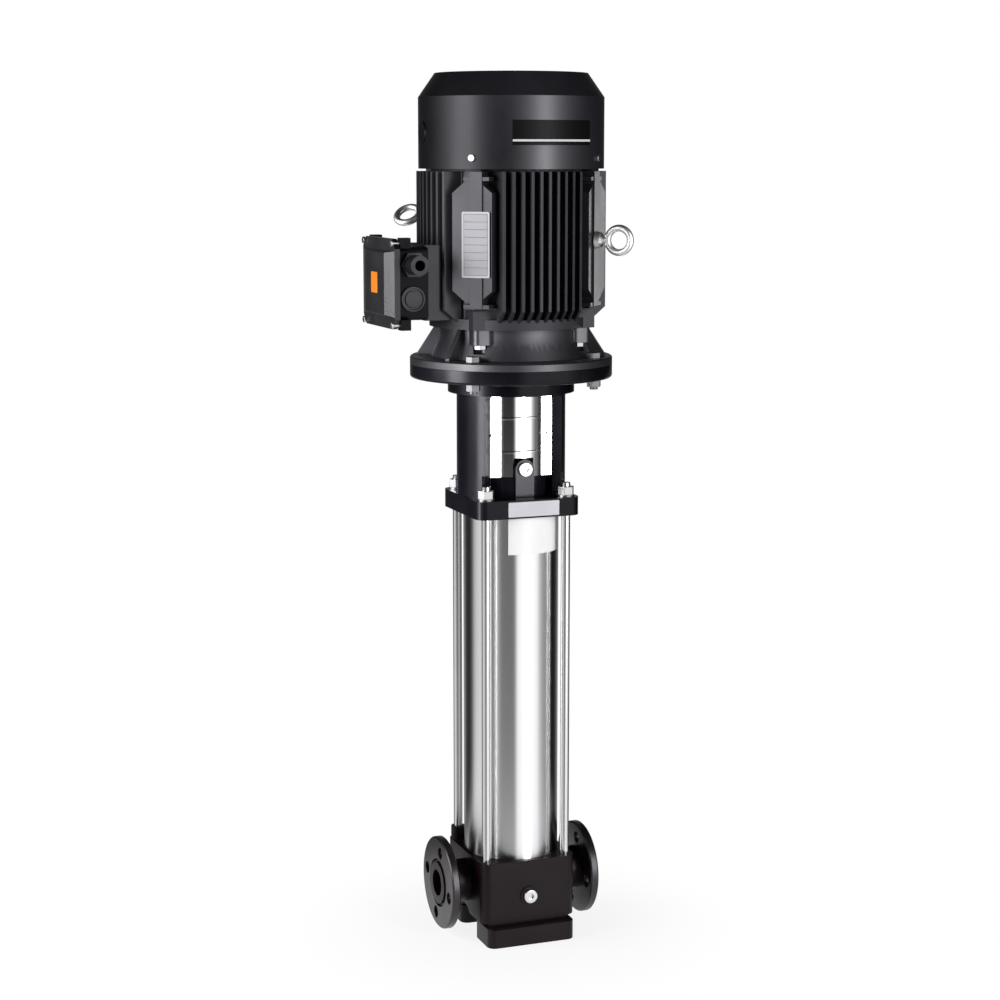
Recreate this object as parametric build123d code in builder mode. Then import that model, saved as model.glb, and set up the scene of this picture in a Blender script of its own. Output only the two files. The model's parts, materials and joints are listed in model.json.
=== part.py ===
"""Vertical multistage in-line pump with a flange-mounted electric motor.

Millimetres, +Z up. The origin lies on the pump axis, in the plane the foot stands on. +X is the pipe
axis towards the outlet port, and -Y is the front, with the drain and vent plugs. One rotor runs in
everything else: motor shaft, coupling, pump shaft, impellers, seal ring and fan.
"""

from build123d import *
from math import asin, cos, degrees, hypot, radians, sin
import os

os.makedirs("parts", exist_ok=True)

# ---------------------------------------------------------------- clearances
running_fit = 0.05      # radial, shaft in a bush or bearing
slip_fit = 0.1          # radial, still pieces that slide together
free_gap = 0.3          # between pieces that must not touch
bolt_play = 0.6         # radial, bolt in its hole
hole_run_out = 1        # how far a drilled hole runs past the screw in it

# ---------------------------------------------------------------- base casting
foot_width = 138
foot_span = 188
foot_bar_depth = 67
foot_height = 30
foot_corner = 12
foot_top_edge = 2
arch_crown = 44
base_width = 150
base_depth = 160
base_corner = 15
base_bottom = 34
base_top = 127
waist_inset = 5
anchor_spacing_x = 100
anchor_spacing_y = 130
anchor_radius = 5.1
anchor_depth = 18
rod_boss_radius = 11
rod_boss_height = 20

# ---------------------------------------------------------------- pipe ports
port_height = 81
port_face = 120
port_bore_radius = 20
port_bore_length = 40
passage_radius = 19
neck_radius = 32
flange_radius = 70
flange_front = 118.5
flange_thickness = 13
flange_edge = 2
flange_recess_radius = 36.5
flange_turn = 11
snap_ring_distance = 112
snap_ring_width = 4
snap_ring_radius = 35
snap_ring_gap = 9
snap_groove_depth = 2.5
outlet_pocket_gap = 4
outlet_pocket_wall = 1
outlet_pocket_width = 36
port_bolt_circle = 100
port_bolt_radius = 9
port_bolt_count = 4
inlet_well_radius = 30
inlet_well_floor = 56
inlet_wall = 14
inlet_wall_top = 112
annulus_floor = 104

# ---------------------------------------------------------------- sleeve and its seats
sleeve_radius = 71.5
sleeve_wall = 3
sleeve_bottom = 118
sleeve_top = 657
spigot_wall = 5.2
o_ring_radius = 1.1
o_ring_margin = 3.5
o_ring_groove_width = 3
o_ring_groove_depth = 2

# ---------------------------------------------------------------- tie rods
rod_spacing = 126
rod_radius = 6.75
rod_grip = 20
nut_flats = 22
nut_height = 12
washer_radius = 12.5
washer_thickness = 2.5
rod_stub = 6

# ---------------------------------------------------------------- pump head and shaft seal
head_bottom = 650
ring_bottom = 649
ring_top = 676
head_rim_radius = 74.7
head_rim_top = 668
hub_radius = 54
hub_top = 706
seal_chamber_radius = 24
seal_chamber_floor = 666
seal_throat_radius = 12
head_floor = 660
vent_height = 718
vent_face = 58
vent_boss_radius = 14.5
vent_boss_depth = 14
vent_shank_radius = 6
vent_shank_length = 10
plug_head_radius = 10.5
plug_head_height = 5
plug_socket_flats = 8
plug_socket_depth = 3.5
plug_edge = 1.25
drain_height = 72
drain_boss_radius = 15
drain_boss_height = 2
drain_shank_radius = 7
drain_shank_length = 16
drain_well_overlap = 3
seal_ring_radius = 17
seal_ring_bottom = 672
seal_face = 698
seal_cover_radius = 40
seal_cover_thickness = 5
seal_cover_edge = 1.5

# ---------------------------------------------------------------- motor stool
stool_half = 81
stool_corner = 17
stool_column_inner = 66
stool_window_half_angle = 48
stool_step_radius = 94
stool_step_bottom = 829
stool_disc_bottom = 850.5
motor_face = 870.5
motor_flange_radius = 150
spigot_radius = 115
spigot_height = 4
stool_shoulder_radius = 58
column_foot_radius = 9
scallop_height = 34
scallop_play = 1.5
stool_disc_edge = 4
guard_land_width = 20
guard_land_height = 20
guard_land_inner = 32
guard_land_shift = 4

# ---------------------------------------------------------------- coupling guards
guard_bottom = 706
guard_top = 828.5
guard_radius = 53
guard_sheet = 1.2
guard_bulge_half = 33
guard_wing_half = 50
guard_wing_depth = 41
guard_bend_overlap = 2
guard_bead_end = 4
guard_bead_sink = 0.3
guard_bead_flank = 60
guard_notch_play = 1.5
guard_bead_heights = (743, 793)
guard_bead_width = 5
guard_bead_rise = 1.6
guard_screw_x = 44
guard_screw_z = 768
guard_screw_radius = 2.4
guard_screw_length = 9
guard_screw_head_radius = 4.3
guard_screw_head_height = 2.6

# ---------------------------------------------------------------- pump shaft and stages
pump_shaft_radius = 9
pump_shaft_bottom = 115
pump_shaft_top = 786
shaft_edge = 1
stage_count = 12
stage_pitch = 40
stage_stack_bottom = 136
chamber_radius = 63
chamber_wall = 2
chamber_plate = 2
chamber_gap = 0.03
wear_ring_radius = 24.3
diffuser_disc_radius = 56
diffuser_disc_height = 22
diffuser_vanes = 6
diffuser_vane_width = 3
diffuser_vane_inset = 2
diffuser_vane_turn = 25
impeller_radius = 46
impeller_bottom = 4
impeller_width = 14
impeller_shroud = 2
impeller_neck_wall = 4
impeller_neck_drop = 5.5
impeller_blades = 6
impeller_blade_thickness = 2
impeller_blade_turn = 35
blade_inset = 1
hub_sleeve_radius = 12
bush_radius = 14
bush_height = 14
lower_bush_bottom = 116
bush_boss_wall = 4
collar_plate = 4
collar_wall = 3
spider_arms = 3
spider_arm_width = 4
spider_overlap = 2
collar_holes = 6
collar_hole_radius = 9
collar_port_drop = 2
collar_port_width = 44
collar_port_height = 20
shaft_nut_flats = 26
shaft_nut_height = 8.5

# ---------------------------------------------------------------- coupling
coupling_radius = 34
coupling_bottom = 739
coupling_top = 839
coupling_split = 1
coupling_edge = 2
shaft_end_gap = 2
coupling_screw_y = 26
coupling_screw_heights = (759, 819)
coupling_screw_radius = 4
coupling_screw_reach = 14
coupling_head_radius = 6.4
coupling_head_bottom = 12
coupling_head_height = 8

# ---------------------------------------------------------------- motor shield
flange_thickness_motor = 11.8
shield_flange_edge = 2
bell_top_band = 16
gusset_foot_rise = 3
motor_bolt_margin = 17.5
motor_hole_radius = 7.5
bell_foot_radius = 118
bell_top_radius = 106
frame_bottom = 927
shaft_hole_radius = 20.3
drive_bearing_bottom = 886
drive_bearing_radius = 45
drive_bearing_width = 23
bearing_housing_radius = 56
bell_cavity_floor = 892
bell_cavity_radius = 91
gusset_thickness = 7
gusset_angles = (-152, -28, 28, 152)
gusset_top_radius = 113
gusset_foot_radius = 140
gusset_sink = 1
shield_lug_bottom = 905
shield_lug_size = 29
shield_lug_corner = 8
flange_bolt_radius = 6
flange_bolt_flats = 19
flange_bolt_head = 8
flange_nut_height = 10
flange_bolt_stub = 4
corner_bolt_radius = 4
corner_bolt_flats = 16
corner_bolt_head = 6.4
corner_bolt_grip = 20
bolt_end_gap = 2
corner_pocket_radius = 10.5
corner_pocket_depth = 13

# ---------------------------------------------------------------- motor frame
frame_top = 1152
frame_bore_radius = 105
frame_body_radius = 112
frame_ring_radius = 121
frame_ring_top = 942
fin_envelope_radius = 139
fin_thickness = 4
fin_pitch = 13
fins_per_side = 10
fin_root = 100
fin_skirt = 13
fin_trim = 5
fin_sink = 4
pad_distance = 136
pad_width = 62
pad_bottom = 967
pad_top = 1139
pad_chamfer_across = 21
pad_chamfer_up = 17
pad_rib_offset = 7
pad_rib_width = 19
pad_rib_rise = 2.5
pad_rib_drop = 8
pad_sink = 2
shelf_length = 40
shelf_thickness = 5.5
shelf_rise = 1.5
lug_centre = 76
lug_size = 36
lug_top = 955

# ---------------------------------------------------------------- motor inside
stator_bottom = 964
stator_top = 1114
air_gap_radius = 67
rotor_core_radius = 66.4
winding_inner = 72
winding_outer = 97
winding_overhang = 20
motor_shaft_radius = 19
motor_shaft_length = 80
motor_shaft_step = 1.5
bearing_seat_run = 2
bearing_seat_radius = 20
shaft_shoulder_radius = 24
rotor_seat_radius = 25
fan_seat_radius = 15
motor_shaft_top = 1236
fan_bearing_bottom = 1134
fan_bearing_radius = 40
fan_bearing_width = 18

# ---------------------------------------------------------------- fan end
fan_shield_plate = 8
fan_shield_radius = 118
fan_housing_radius = 52
post_inner = 121
post_sink = 3
post_width = 24
post_top = 1181
fan_bottom = 1190
fan_radius = 108
fan_hub_radius = 25
fan_hub_height = 31
fan_disc = 4
fan_height = 42
fan_blades = 9
fan_blade_thickness = 3
fan_blade_sink = 1.5
cowl_bottom = 1155.5
cowl_radius = 136
cowl_shoulder = 1258
cowl_top = 1292.5
cowl_top_radius = 112
cowl_wall = 2
grille_rings = 4
grille_inner_radius = 26
grille_pitch = 19
grille_slot_width = 9
grille_bridge = 9
grille_sectors = 4
cowl_boss_radius = 15
cowl_boss_height = 1207
cowl_boss_reach = 138.5
cowl_screw_height = 1171
cowl_screw_radius = 2.5
cowl_screw_length = 11
cowl_screw_head_radius = 5
cowl_screw_head_height = 3

# ---------------------------------------------------------------- lifting eyes
eye_distance = 173
eye_ring_radius = 17.5
eye_wire_radius = 5
eye_collar_radius = 12.5
eye_collar_height = 7
eye_collar_taper = 12
eye_stem_radius = 6
eye_shank_radius = 5
eye_shank_length = 17
right_eye_height = 1054
left_eye_height = 1086
right_eye_twist = 0
left_eye_twist = 50

# ---------------------------------------------------------------- terminal box
box_height = 994
saddle_half_width = 50
saddle_half_height = 54
saddle_sink = 8
box_back = 151
box_half_width = 65
box_half_height = 52
box_front = 195
box_wall = 4
box_corner = 8
box_ear = 15
gasket_thickness = 1.5
cover_half_width = 75
cover_half_height = 64
cover_cut = 14
cover_slab = 8
cover_rise = 7
cover_face_half_width = 45
cover_face_half_height = 44
cover_raise_half_width = 73.5
cover_raise_half_height = 47
cover_screw_y = 66
cover_screw_z = 58
cover_screw_radius = 2.5
cover_screw_length = 17
cover_screw_head_radius = 5
cover_screw_head_height = 3.5
entry_x = 175
gland_height = 1021.5
gland_entry_radius = 12
gland_nut_flats = 34
gland_nut_height = 10
gland_neck_radius = 14
gland_reach = 100
gland_inner_length = 6
gland_bore_radius = 7.5
blank_height = 972.5
blank_entry_radius = 14
blank_head_radius = 18
blank_head_height = 4
blank_rim = 3
blank_inner_length = 3
board_width = 60
board_height = 44
board_thickness = 8
stud_radius = 2.5
stud_nut_radius = 4
stud_nut_height = 3
stud_length = 12
stud_pitch_y = 18
stud_pitch_z = 22


# ---------------------------------------------------------------- worked-out places
rod_points = [(x * rod_spacing / 2, y * rod_spacing / 2) for x in (-1, 1) for y in (-1, 1)]
rod_points_back = [point for point in rod_points if point[1] > 0]
corner_points = [(x * lug_centre, y * lug_centre) for x in (-1, 1) for y in (-1, 1)]
flange_bolt_reach = (motor_flange_radius - motor_bolt_margin) * sin(radians(45))
flange_points = [(x * flange_bolt_reach, y * flange_bolt_reach) for x in (-1, 1) for y in (-1, 1)]
sleeve_bore = sleeve_radius - sleeve_wall
sleeve_seat_outer = sleeve_radius + free_gap
sleeve_seat_inner = sleeve_bore - free_gap
spigot_inner = sleeve_seat_inner - spigot_wall
o_ring_centre = sleeve_bore - o_ring_radius - slip_fit / 2
lower_o_ring_height = sleeve_bottom + o_ring_margin
upper_o_ring_height = sleeve_top - o_ring_margin
rod_bottom = base_top - rod_grip
rod_top = ring_top + washer_thickness + nut_height + rod_stub
stage_stack_top = stage_stack_bottom + stage_count * stage_pitch
upper_bush_bottom = stage_stack_top + impeller_bottom + free_gap


# ================================================================ base and ports
with BuildPart() as base_casting:
    # Two foot bars, front and back, leave an arch below the pipe axis.
    bar_centre = (foot_span - foot_bar_depth) / 2
    arch_half = foot_span / 2 - foot_bar_depth
    with BuildSketch(Plane.XY):
        with Locations((0, bar_centre), (0, -bar_centre)):
            RectangleRounded(foot_width, foot_bar_depth, foot_corner)
    extrude(amount=foot_height)
    chamfer(base_casting.faces().filter_by(Axis.Z).group_by(Axis.Z)[-1].edges(), foot_top_edge)
    waist_outer = base_depth / 2 - waist_inset
    with BuildSketch(Plane.XY.offset(foot_height)):
        with Locations((0, (waist_outer + arch_half) / 2), (0, -(waist_outer + arch_half) / 2)):
            Rectangle(foot_width - 2 * waist_inset, waist_outer - arch_half)
    extrude(amount=base_bottom - foot_height)
    with BuildSketch(Plane.XY.offset(base_bottom)):
        RectangleRounded(base_width, base_depth, base_corner)
    extrude(amount=base_top - base_bottom)

    # A round arch runs along the pipe axis between the foot bars.
    with BuildSketch(Plane.YZ):
        with Locations((0, arch_crown - arch_half)):
            Circle(arch_half)
        with Locations((0, (arch_crown - arch_half) / 2)):
            Rectangle(2 * arch_half, arch_crown - arch_half)
    extrude(amount=base_width, both=True, mode=Mode.SUBTRACT)

    # Port necks, each with a groove for the ring that holds its loose flange.
    with BuildSketch(Plane.YZ):
        with Locations((0, port_height)):
            Circle(neck_radius)
    extrude(amount=port_face, both=True)
    snap_groove_radius = neck_radius - snap_groove_depth
    for side in (-1, 1):
        with BuildSketch(Plane.YZ.offset(side * snap_ring_distance)):
            with Locations((0, port_height)):
                Circle(flange_radius)
                Circle(snap_groove_radius, mode=Mode.SUBTRACT)
        extrude(amount=side * (snap_ring_width + slip_fit), mode=Mode.SUBTRACT)

    # The inlet well feeds the first stage; the ring space round it collects what comes back down.
    inlet_wall_radius = inlet_well_radius + inlet_wall
    with BuildSketch(Plane.XZ):
        with BuildLine():
            Polyline(
                (0, inlet_well_floor), (inlet_well_radius, inlet_well_floor),
                (inlet_well_radius, inlet_wall_top), (inlet_wall_radius, inlet_wall_top),
                (inlet_wall_radius, annulus_floor), (spigot_inner, annulus_floor),
                (spigot_inner, base_top), (0, base_top), close=True,
            )
        make_face()
    revolve(axis=Axis.Z, mode=Mode.SUBTRACT)
    with BuildSketch(Plane.XY.offset(sleeve_bottom)):
        Circle(sleeve_seat_outer)
        Circle(sleeve_seat_inner, mode=Mode.SUBTRACT)
    extrude(amount=base_top - sleeve_bottom, mode=Mode.SUBTRACT)
    with BuildSketch(Plane.XY.offset(lower_o_ring_height - o_ring_groove_width / 2)):
        Circle(sleeve_seat_inner)
        Circle(sleeve_seat_inner - o_ring_groove_depth, mode=Mode.SUBTRACT)
    extrude(amount=o_ring_groove_width, mode=Mode.SUBTRACT)
    for side in (-1, 1):
        with BuildSketch(Plane.YZ.offset(side * port_face)):
            with Locations((0, port_height)):
                Circle(port_bore_radius)
        extrude(amount=-side * port_bore_length, mode=Mode.SUBTRACT)
    bore_end = port_face - port_bore_length
    with BuildSketch(Plane.YZ.offset(-bore_end)):
        with Locations((0, port_height)):
            Circle(passage_radius)
    extrude(amount=bore_end, mode=Mode.SUBTRACT)
    outlet_pocket_inner = inlet_wall_radius + outlet_pocket_gap
    outlet_pocket_outer = spigot_inner - outlet_pocket_wall
    with BuildSketch(Plane.YZ.offset(bore_end)):
        with Locations((0, port_height)):
            Circle(passage_radius)
    extrude(amount=-(bore_end - outlet_pocket_inner), mode=Mode.SUBTRACT)
    with BuildSketch(Plane.XY.offset(port_height)):
        with Locations(((outlet_pocket_inner + outlet_pocket_outer) / 2, 0)):
            Rectangle(outlet_pocket_outer - outlet_pocket_inner, outlet_pocket_width)
    extrude(amount=annulus_floor - port_height, mode=Mode.SUBTRACT)

    # Bosses guide the two back tie rods above the base.
    with BuildSketch(Plane.XY.offset(base_top)):
        with Locations(*rod_points_back):
            Circle(rod_boss_radius)
    extrude(amount=rod_boss_height)

    # Tie-rod sockets, the drain hole in its boss, and the tapped anchor holes under the foot.
    with BuildSketch(Plane.XY.offset(rod_bottom)):
        with Locations(*rod_points):
            Circle(rod_radius + slip_fit)
    extrude(amount=rod_grip + rod_boss_height, mode=Mode.SUBTRACT)
    with BuildSketch(Plane.XZ.offset(base_depth / 2)):
        with Locations((0, drain_height)):
            Circle(drain_boss_radius)
    extrude(amount=drain_boss_height)
    with BuildSketch(Plane.XZ.offset(base_depth / 2 + drain_boss_height)):
        with Locations((0, drain_height)):
            Circle(drain_shank_radius + slip_fit)
    drain_depth = base_depth / 2 + drain_boss_height - inlet_well_radius + drain_well_overlap
    extrude(amount=-drain_depth, mode=Mode.SUBTRACT)
    with BuildSketch(Plane.XY):
        with GridLocations(anchor_spacing_x, anchor_spacing_y, 2, 2):
            Circle(anchor_radius)
    extrude(amount=anchor_depth, mode=Mode.SUBTRACT)
base_casting.part.label = "base_casting"
export_step(base_casting.part, "parts/base_casting.step")


def port_flange(side):
    """Return one loose port flange; side is -1 for the inlet and 1 for the outlet."""
    with BuildPart() as flange:
        with BuildSketch(Plane.YZ.offset(side * flange_front)):
            with Locations((0, port_height)):
                Circle(flange_radius)
        extrude(amount=-side * flange_thickness)
        chamfer(flange.edges().filter_by(GeomType.CIRCLE), flange_edge)
        with BuildSketch(Plane.YZ.offset(side * flange_front)):
            with Locations((0, port_height)):
                Circle(neck_radius + slip_fit)
                with PolarLocations(port_bolt_circle / 2, port_bolt_count, start_angle=flange_turn):
                    Circle(port_bolt_radius)
        extrude(amount=-side * flange_thickness, mode=Mode.SUBTRACT)
        # The recess takes the ring, which stops the flange from sliding off.
        with BuildSketch(Plane.YZ.offset(side * flange_front)):
            with Locations((0, port_height)):
                Circle(flange_recess_radius)
        extrude(amount=-side * (flange_front - snap_ring_distance), mode=Mode.SUBTRACT)
    return flange


inlet_flange = port_flange(-1)
inlet_flange.part.label = "inlet_flange"
export_step(inlet_flange.part, "parts/inlet_flange.step")
outlet_flange = port_flange(1)
outlet_flange.part.label = "outlet_flange"
export_step(outlet_flange.part, "parts/outlet_flange.step")

with BuildPart() as flange_rings:
    for side in (-1, 1):
        with BuildSketch(Plane.YZ.offset(side * snap_ring_distance)):
            with Locations((0, port_height)):
                Circle(snap_ring_radius)
                Circle(snap_groove_radius + slip_fit, mode=Mode.SUBTRACT)
            with Locations((0, port_height - snap_ring_radius)):
                Rectangle(snap_ring_gap, snap_ring_radius, mode=Mode.SUBTRACT)
        extrude(amount=side * snap_ring_width)
flange_rings.part.label = "flange_rings"
export_step(flange_rings.part, "parts/flange_rings.step")

with BuildPart() as drain_plug:
    drain_seat = base_depth / 2 + drain_boss_height
    with BuildSketch(Plane.XZ.offset(drain_seat)):
        with Locations((0, drain_height)):
            Circle(plug_head_radius)
    extrude(amount=plug_head_height)
    fillet(drain_plug.faces().sort_by(Axis.Y)[0].edges(), plug_edge)
    with BuildSketch(Plane.XZ.offset(drain_seat)):
        with Locations((0, drain_height)):
            Circle(drain_shank_radius)
    extrude(amount=-drain_shank_length)
    with BuildSketch(Plane.XZ.offset(drain_seat + plug_head_height)):
        with Locations((0, drain_height)):
            RegularPolygon(plug_socket_flats / 2, 6, major_radius=False)
    extrude(amount=-plug_socket_depth, mode=Mode.SUBTRACT)
drain_plug.part.label = "drain_plug"
export_step(drain_plug.part, "parts/drain_plug.step")

with BuildPart() as outer_sleeve:
    with BuildSketch(Plane.XY.offset(sleeve_bottom)):
        Circle(sleeve_radius)
        Circle(sleeve_bore, mode=Mode.SUBTRACT)
    extrude(amount=sleeve_top - sleeve_bottom)
outer_sleeve.part.label = "outer_sleeve"
export_step(outer_sleeve.part, "parts/outer_sleeve.step")

with BuildPart() as sleeve_o_rings:
    with BuildSketch(Plane.XZ):
        with Locations((o_ring_centre, lower_o_ring_height), (o_ring_centre, upper_o_ring_height)):
            RegularPolygon(o_ring_radius, 6)
    revolve(axis=Axis.Z)
sleeve_o_rings.part.label = "sleeve_o_rings"
export_step(sleeve_o_rings.part, "parts/sleeve_o_rings.step")

# ================================================================ tie rods
with BuildPart() as tie_rods:
    with BuildSketch(Plane.XY.offset(rod_bottom)):
        with Locations(*rod_points):
            Circle(rod_radius)
    extrude(amount=rod_top - rod_bottom)
tie_rods.part.label = "tie_rods"
export_step(tie_rods.part, "parts/tie_rods.step")

with BuildPart() as tie_rod_washers:
    with BuildSketch(Plane.XY.offset(ring_top)):
        with Locations(*rod_points):
            Circle(washer_radius)
            Circle(rod_radius + slip_fit, mode=Mode.SUBTRACT)
    extrude(amount=washer_thickness)
tie_rod_washers.part.label = "tie_rod_washers"
export_step(tie_rod_washers.part, "parts/tie_rod_washers.step")

with BuildPart() as tie_rod_nuts:
    with BuildSketch(Plane.XY.offset(ring_top + washer_thickness)):
        with Locations(*rod_points):
            RegularPolygon(nut_flats / 2, 6, major_radius=False)
            Circle(rod_radius + slip_fit, mode=Mode.SUBTRACT)
    extrude(amount=nut_height)
tie_rod_nuts.part.label = "tie_rod_nuts"
export_step(tie_rod_nuts.part, "parts/tie_rod_nuts.step")

# ================================================================ pump head and seal
with BuildPart() as pump_head:
    with BuildSketch(Plane.XZ):
        with BuildLine():
            Polyline(
                (seal_throat_radius, head_floor), (spigot_inner, head_floor),
                (spigot_inner, head_bottom), (sleeve_seat_inner, head_bottom),
                (sleeve_seat_inner, sleeve_top), (sleeve_seat_outer, sleeve_top),
                (sleeve_seat_outer, head_bottom), (head_rim_radius, head_bottom),
                (head_rim_radius, head_rim_top), (hub_radius, head_rim_top),
                (hub_radius, hub_top), (seal_chamber_radius, hub_top),
                (seal_chamber_radius, seal_chamber_floor), (seal_throat_radius, seal_chamber_floor),
                close=True,
            )
        make_face()
    revolve(axis=Axis.Z)
    with BuildSketch(Plane.XY.offset(upper_o_ring_height - o_ring_groove_width / 2)):
        Circle(sleeve_seat_inner)
        Circle(sleeve_seat_inner - o_ring_groove_depth, mode=Mode.SUBTRACT)
    extrude(amount=o_ring_groove_width, mode=Mode.SUBTRACT)
    # The vent boss stands on the front of the hub with a round top.
    boss_foot = ring_top + free_gap
    with BuildSketch(Plane.XZ.offset(vent_face)):
        with Locations((0, vent_height)):
            Circle(vent_boss_radius)
        with Locations((0, (boss_foot + vent_height) / 2)):
            Rectangle(2 * vent_boss_radius, vent_height - boss_foot)
    extrude(amount=-vent_boss_depth)
    with BuildSketch(Plane.XZ.offset(vent_face)):
        with Locations((0, vent_height)):
            Circle(vent_shank_radius + slip_fit)
    extrude(amount=-(vent_shank_length + hole_run_out), mode=Mode.SUBTRACT)
pump_head.part.label = "pump_head"
export_step(pump_head.part, "parts/pump_head.step")

with BuildPart() as vent_plug:
    with BuildSketch(Plane.XZ.offset(vent_face)):
        with Locations((0, vent_height)):
            Circle(plug_head_radius)
    extrude(amount=plug_head_height)
    fillet(vent_plug.faces().sort_by(Axis.Y)[0].edges(), plug_edge)
    with BuildSketch(Plane.XZ.offset(vent_face)):
        with Locations((0, vent_height)):
            Circle(vent_shank_radius)
    extrude(amount=-vent_shank_length)
    with BuildSketch(Plane.XZ.offset(vent_face + plug_head_height)):
        with Locations((0, vent_height)):
            RegularPolygon(plug_socket_flats / 2, 6, major_radius=False)
    extrude(amount=-plug_socket_depth, mode=Mode.SUBTRACT)
vent_plug.part.label = "vent_plug"
export_step(vent_plug.part, "parts/vent_plug.step")

with BuildPart() as seal_seat:
    with BuildSketch(Plane.XY.offset(seal_face)):
        Circle(seal_chamber_radius - slip_fit)
        Circle(seal_throat_radius, mode=Mode.SUBTRACT)
    extrude(amount=hub_top - seal_face)
seal_seat.part.label = "seal_seat"
export_step(seal_seat.part, "parts/seal_seat.step")

with BuildPart() as seal_ring:
    with BuildSketch(Plane.XY.offset(seal_ring_bottom)):
        Circle(seal_ring_radius)
        Circle(pump_shaft_radius + running_fit, mode=Mode.SUBTRACT)
    extrude(amount=seal_face - free_gap - seal_ring_bottom)
seal_ring.part.label = "seal_ring"
export_step(seal_ring.part, "parts/seal_ring.step")

with BuildPart() as seal_cover:
    with BuildSketch(Plane.XY.offset(hub_top)):
        Circle(seal_cover_radius)
        Circle(seal_throat_radius, mode=Mode.SUBTRACT)
    extrude(amount=seal_cover_thickness)
    chamfer(seal_cover.faces().sort_by(Axis.Z)[-1].edges().sort_by(SortBy.RADIUS)[-1], seal_cover_edge)
seal_cover.part.label = "seal_cover"
export_step(seal_cover.part, "parts/seal_cover.step")

# ================================================================ motor stool
with BuildPart() as motor_stool:
    # Clamping ring, open column tube, step and motor disc, one above the other.
    with BuildSketch(Plane.XY.offset(ring_bottom)):
        RectangleRounded(2 * stool_half, 2 * stool_half, stool_corner)
    extrude(amount=ring_top - ring_bottom)
    with BuildSketch(Plane.XY.offset(ring_top)):
        Circle(stool_half)
    extrude(amount=stool_step_bottom - ring_top)
    # Front and back windows leave one curved column on each side of the pipe axis.
    for side in (-1, 1):
        half_width = 2 * stool_half * sin(radians(stool_window_half_angle))
        reach = 2 * stool_half * cos(radians(stool_window_half_angle))
        with BuildSketch(Plane.XY.offset(ring_top)):
            with BuildLine():
                Polyline((0, 0), (half_width, side * reach), (-half_width, side * reach), close=True)
            make_face()
        extrude(amount=stool_step_bottom - ring_top, mode=Mode.SUBTRACT)
    with BuildSketch(Plane.XY.offset(stool_step_bottom)):
        Circle(stool_step_radius)
    extrude(amount=stool_disc_bottom - stool_step_bottom)
    with BuildSketch(Plane.XY.offset(stool_disc_bottom)):
        Circle(motor_flange_radius)
    extrude(amount=motor_face - stool_disc_bottom)
    with BuildSketch(Plane.XZ):
        with BuildLine():
            Polyline(
                (0, ring_bottom), (head_rim_radius + free_gap, ring_bottom),
                (head_rim_radius + free_gap, head_rim_top), (stool_shoulder_radius, head_rim_top),
                (stool_shoulder_radius, ring_top), (stool_column_inner, ring_top),
                (stool_column_inner, motor_face - spigot_height - free_gap),
                (spigot_radius + slip_fit, motor_face - spigot_height - free_gap),
                (spigot_radius + slip_fit, motor_face), (0, motor_face), close=True,
            )
        make_face()
    revolve(axis=Axis.Z, mode=Mode.SUBTRACT)
    # Each column spreads into the ring and the step with a hollow curve.
    column_ends = [
        edge
        for edge in motor_stool.edges().filter_by(GeomType.LINE)
        if abs(edge.center().Z - ring_top) < 0.1 or abs(edge.center().Z - stool_step_bottom) < 0.1
        if stool_column_inner + 1 < hypot(edge.center().X, edge.center().Y) < stool_half - 1
    ]
    fillet(column_ends, column_foot_radius)
    disc_rims = [
        edge
        for edge in motor_stool.edges().filter_by(GeomType.CIRCLE)
        if abs(edge.radius - motor_flange_radius) < 0.1 and edge.center().Z < motor_face - 1
    ]
    fillet(disc_rims, stool_disc_edge)
    # Scallops clear the tie-rod nuts.
    with BuildSketch(Plane.XY.offset(ring_top)):
        with Locations(*rod_points):
            Circle(washer_radius + scallop_play)
    extrude(amount=scallop_height, mode=Mode.SUBTRACT)
    # Lands for the guard screws, tapped from outside.
    with BuildSketch(Plane.XY.offset(guard_screw_z - guard_land_height / 2)):
        land_outer = guard_wing_depth - free_gap
        for side_x in (-1, 1):
            for side_y in (-1, 1):
                land_x = side_x * (guard_screw_x + guard_land_shift)
                with Locations((land_x, side_y * (guard_land_inner + land_outer) / 2)):
                    Rectangle(guard_land_width, land_outer - guard_land_inner)
    extrude(amount=guard_land_height)
    for side_y in (-1, 1):
        with BuildSketch(Plane.XZ.offset(-side_y * (guard_land_inner - hole_run_out))):
            with Locations((-guard_screw_x, guard_screw_z), (guard_screw_x, guard_screw_z)):
                Circle(guard_screw_radius + slip_fit)
        extrude(amount=-side_y * (land_outer - guard_land_inner + 2 * hole_run_out), mode=Mode.SUBTRACT)
    # Bolt holes for the motor flange and for the tie rods.
    with BuildSketch(Plane.XY.offset(stool_disc_bottom)):
        with Locations(*flange_points):
            Circle(motor_hole_radius)
    extrude(amount=motor_face - stool_disc_bottom, mode=Mode.SUBTRACT)
    with BuildSketch(Plane.XY.offset(ring_bottom)):
        with Locations(*rod_points):
            Circle(rod_radius + bolt_play)
    extrude(amount=ring_top - ring_bottom, mode=Mode.SUBTRACT)
motor_stool.part.label = "motor_stool"
export_step(motor_stool.part, "parts/motor_stool.step")


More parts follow.
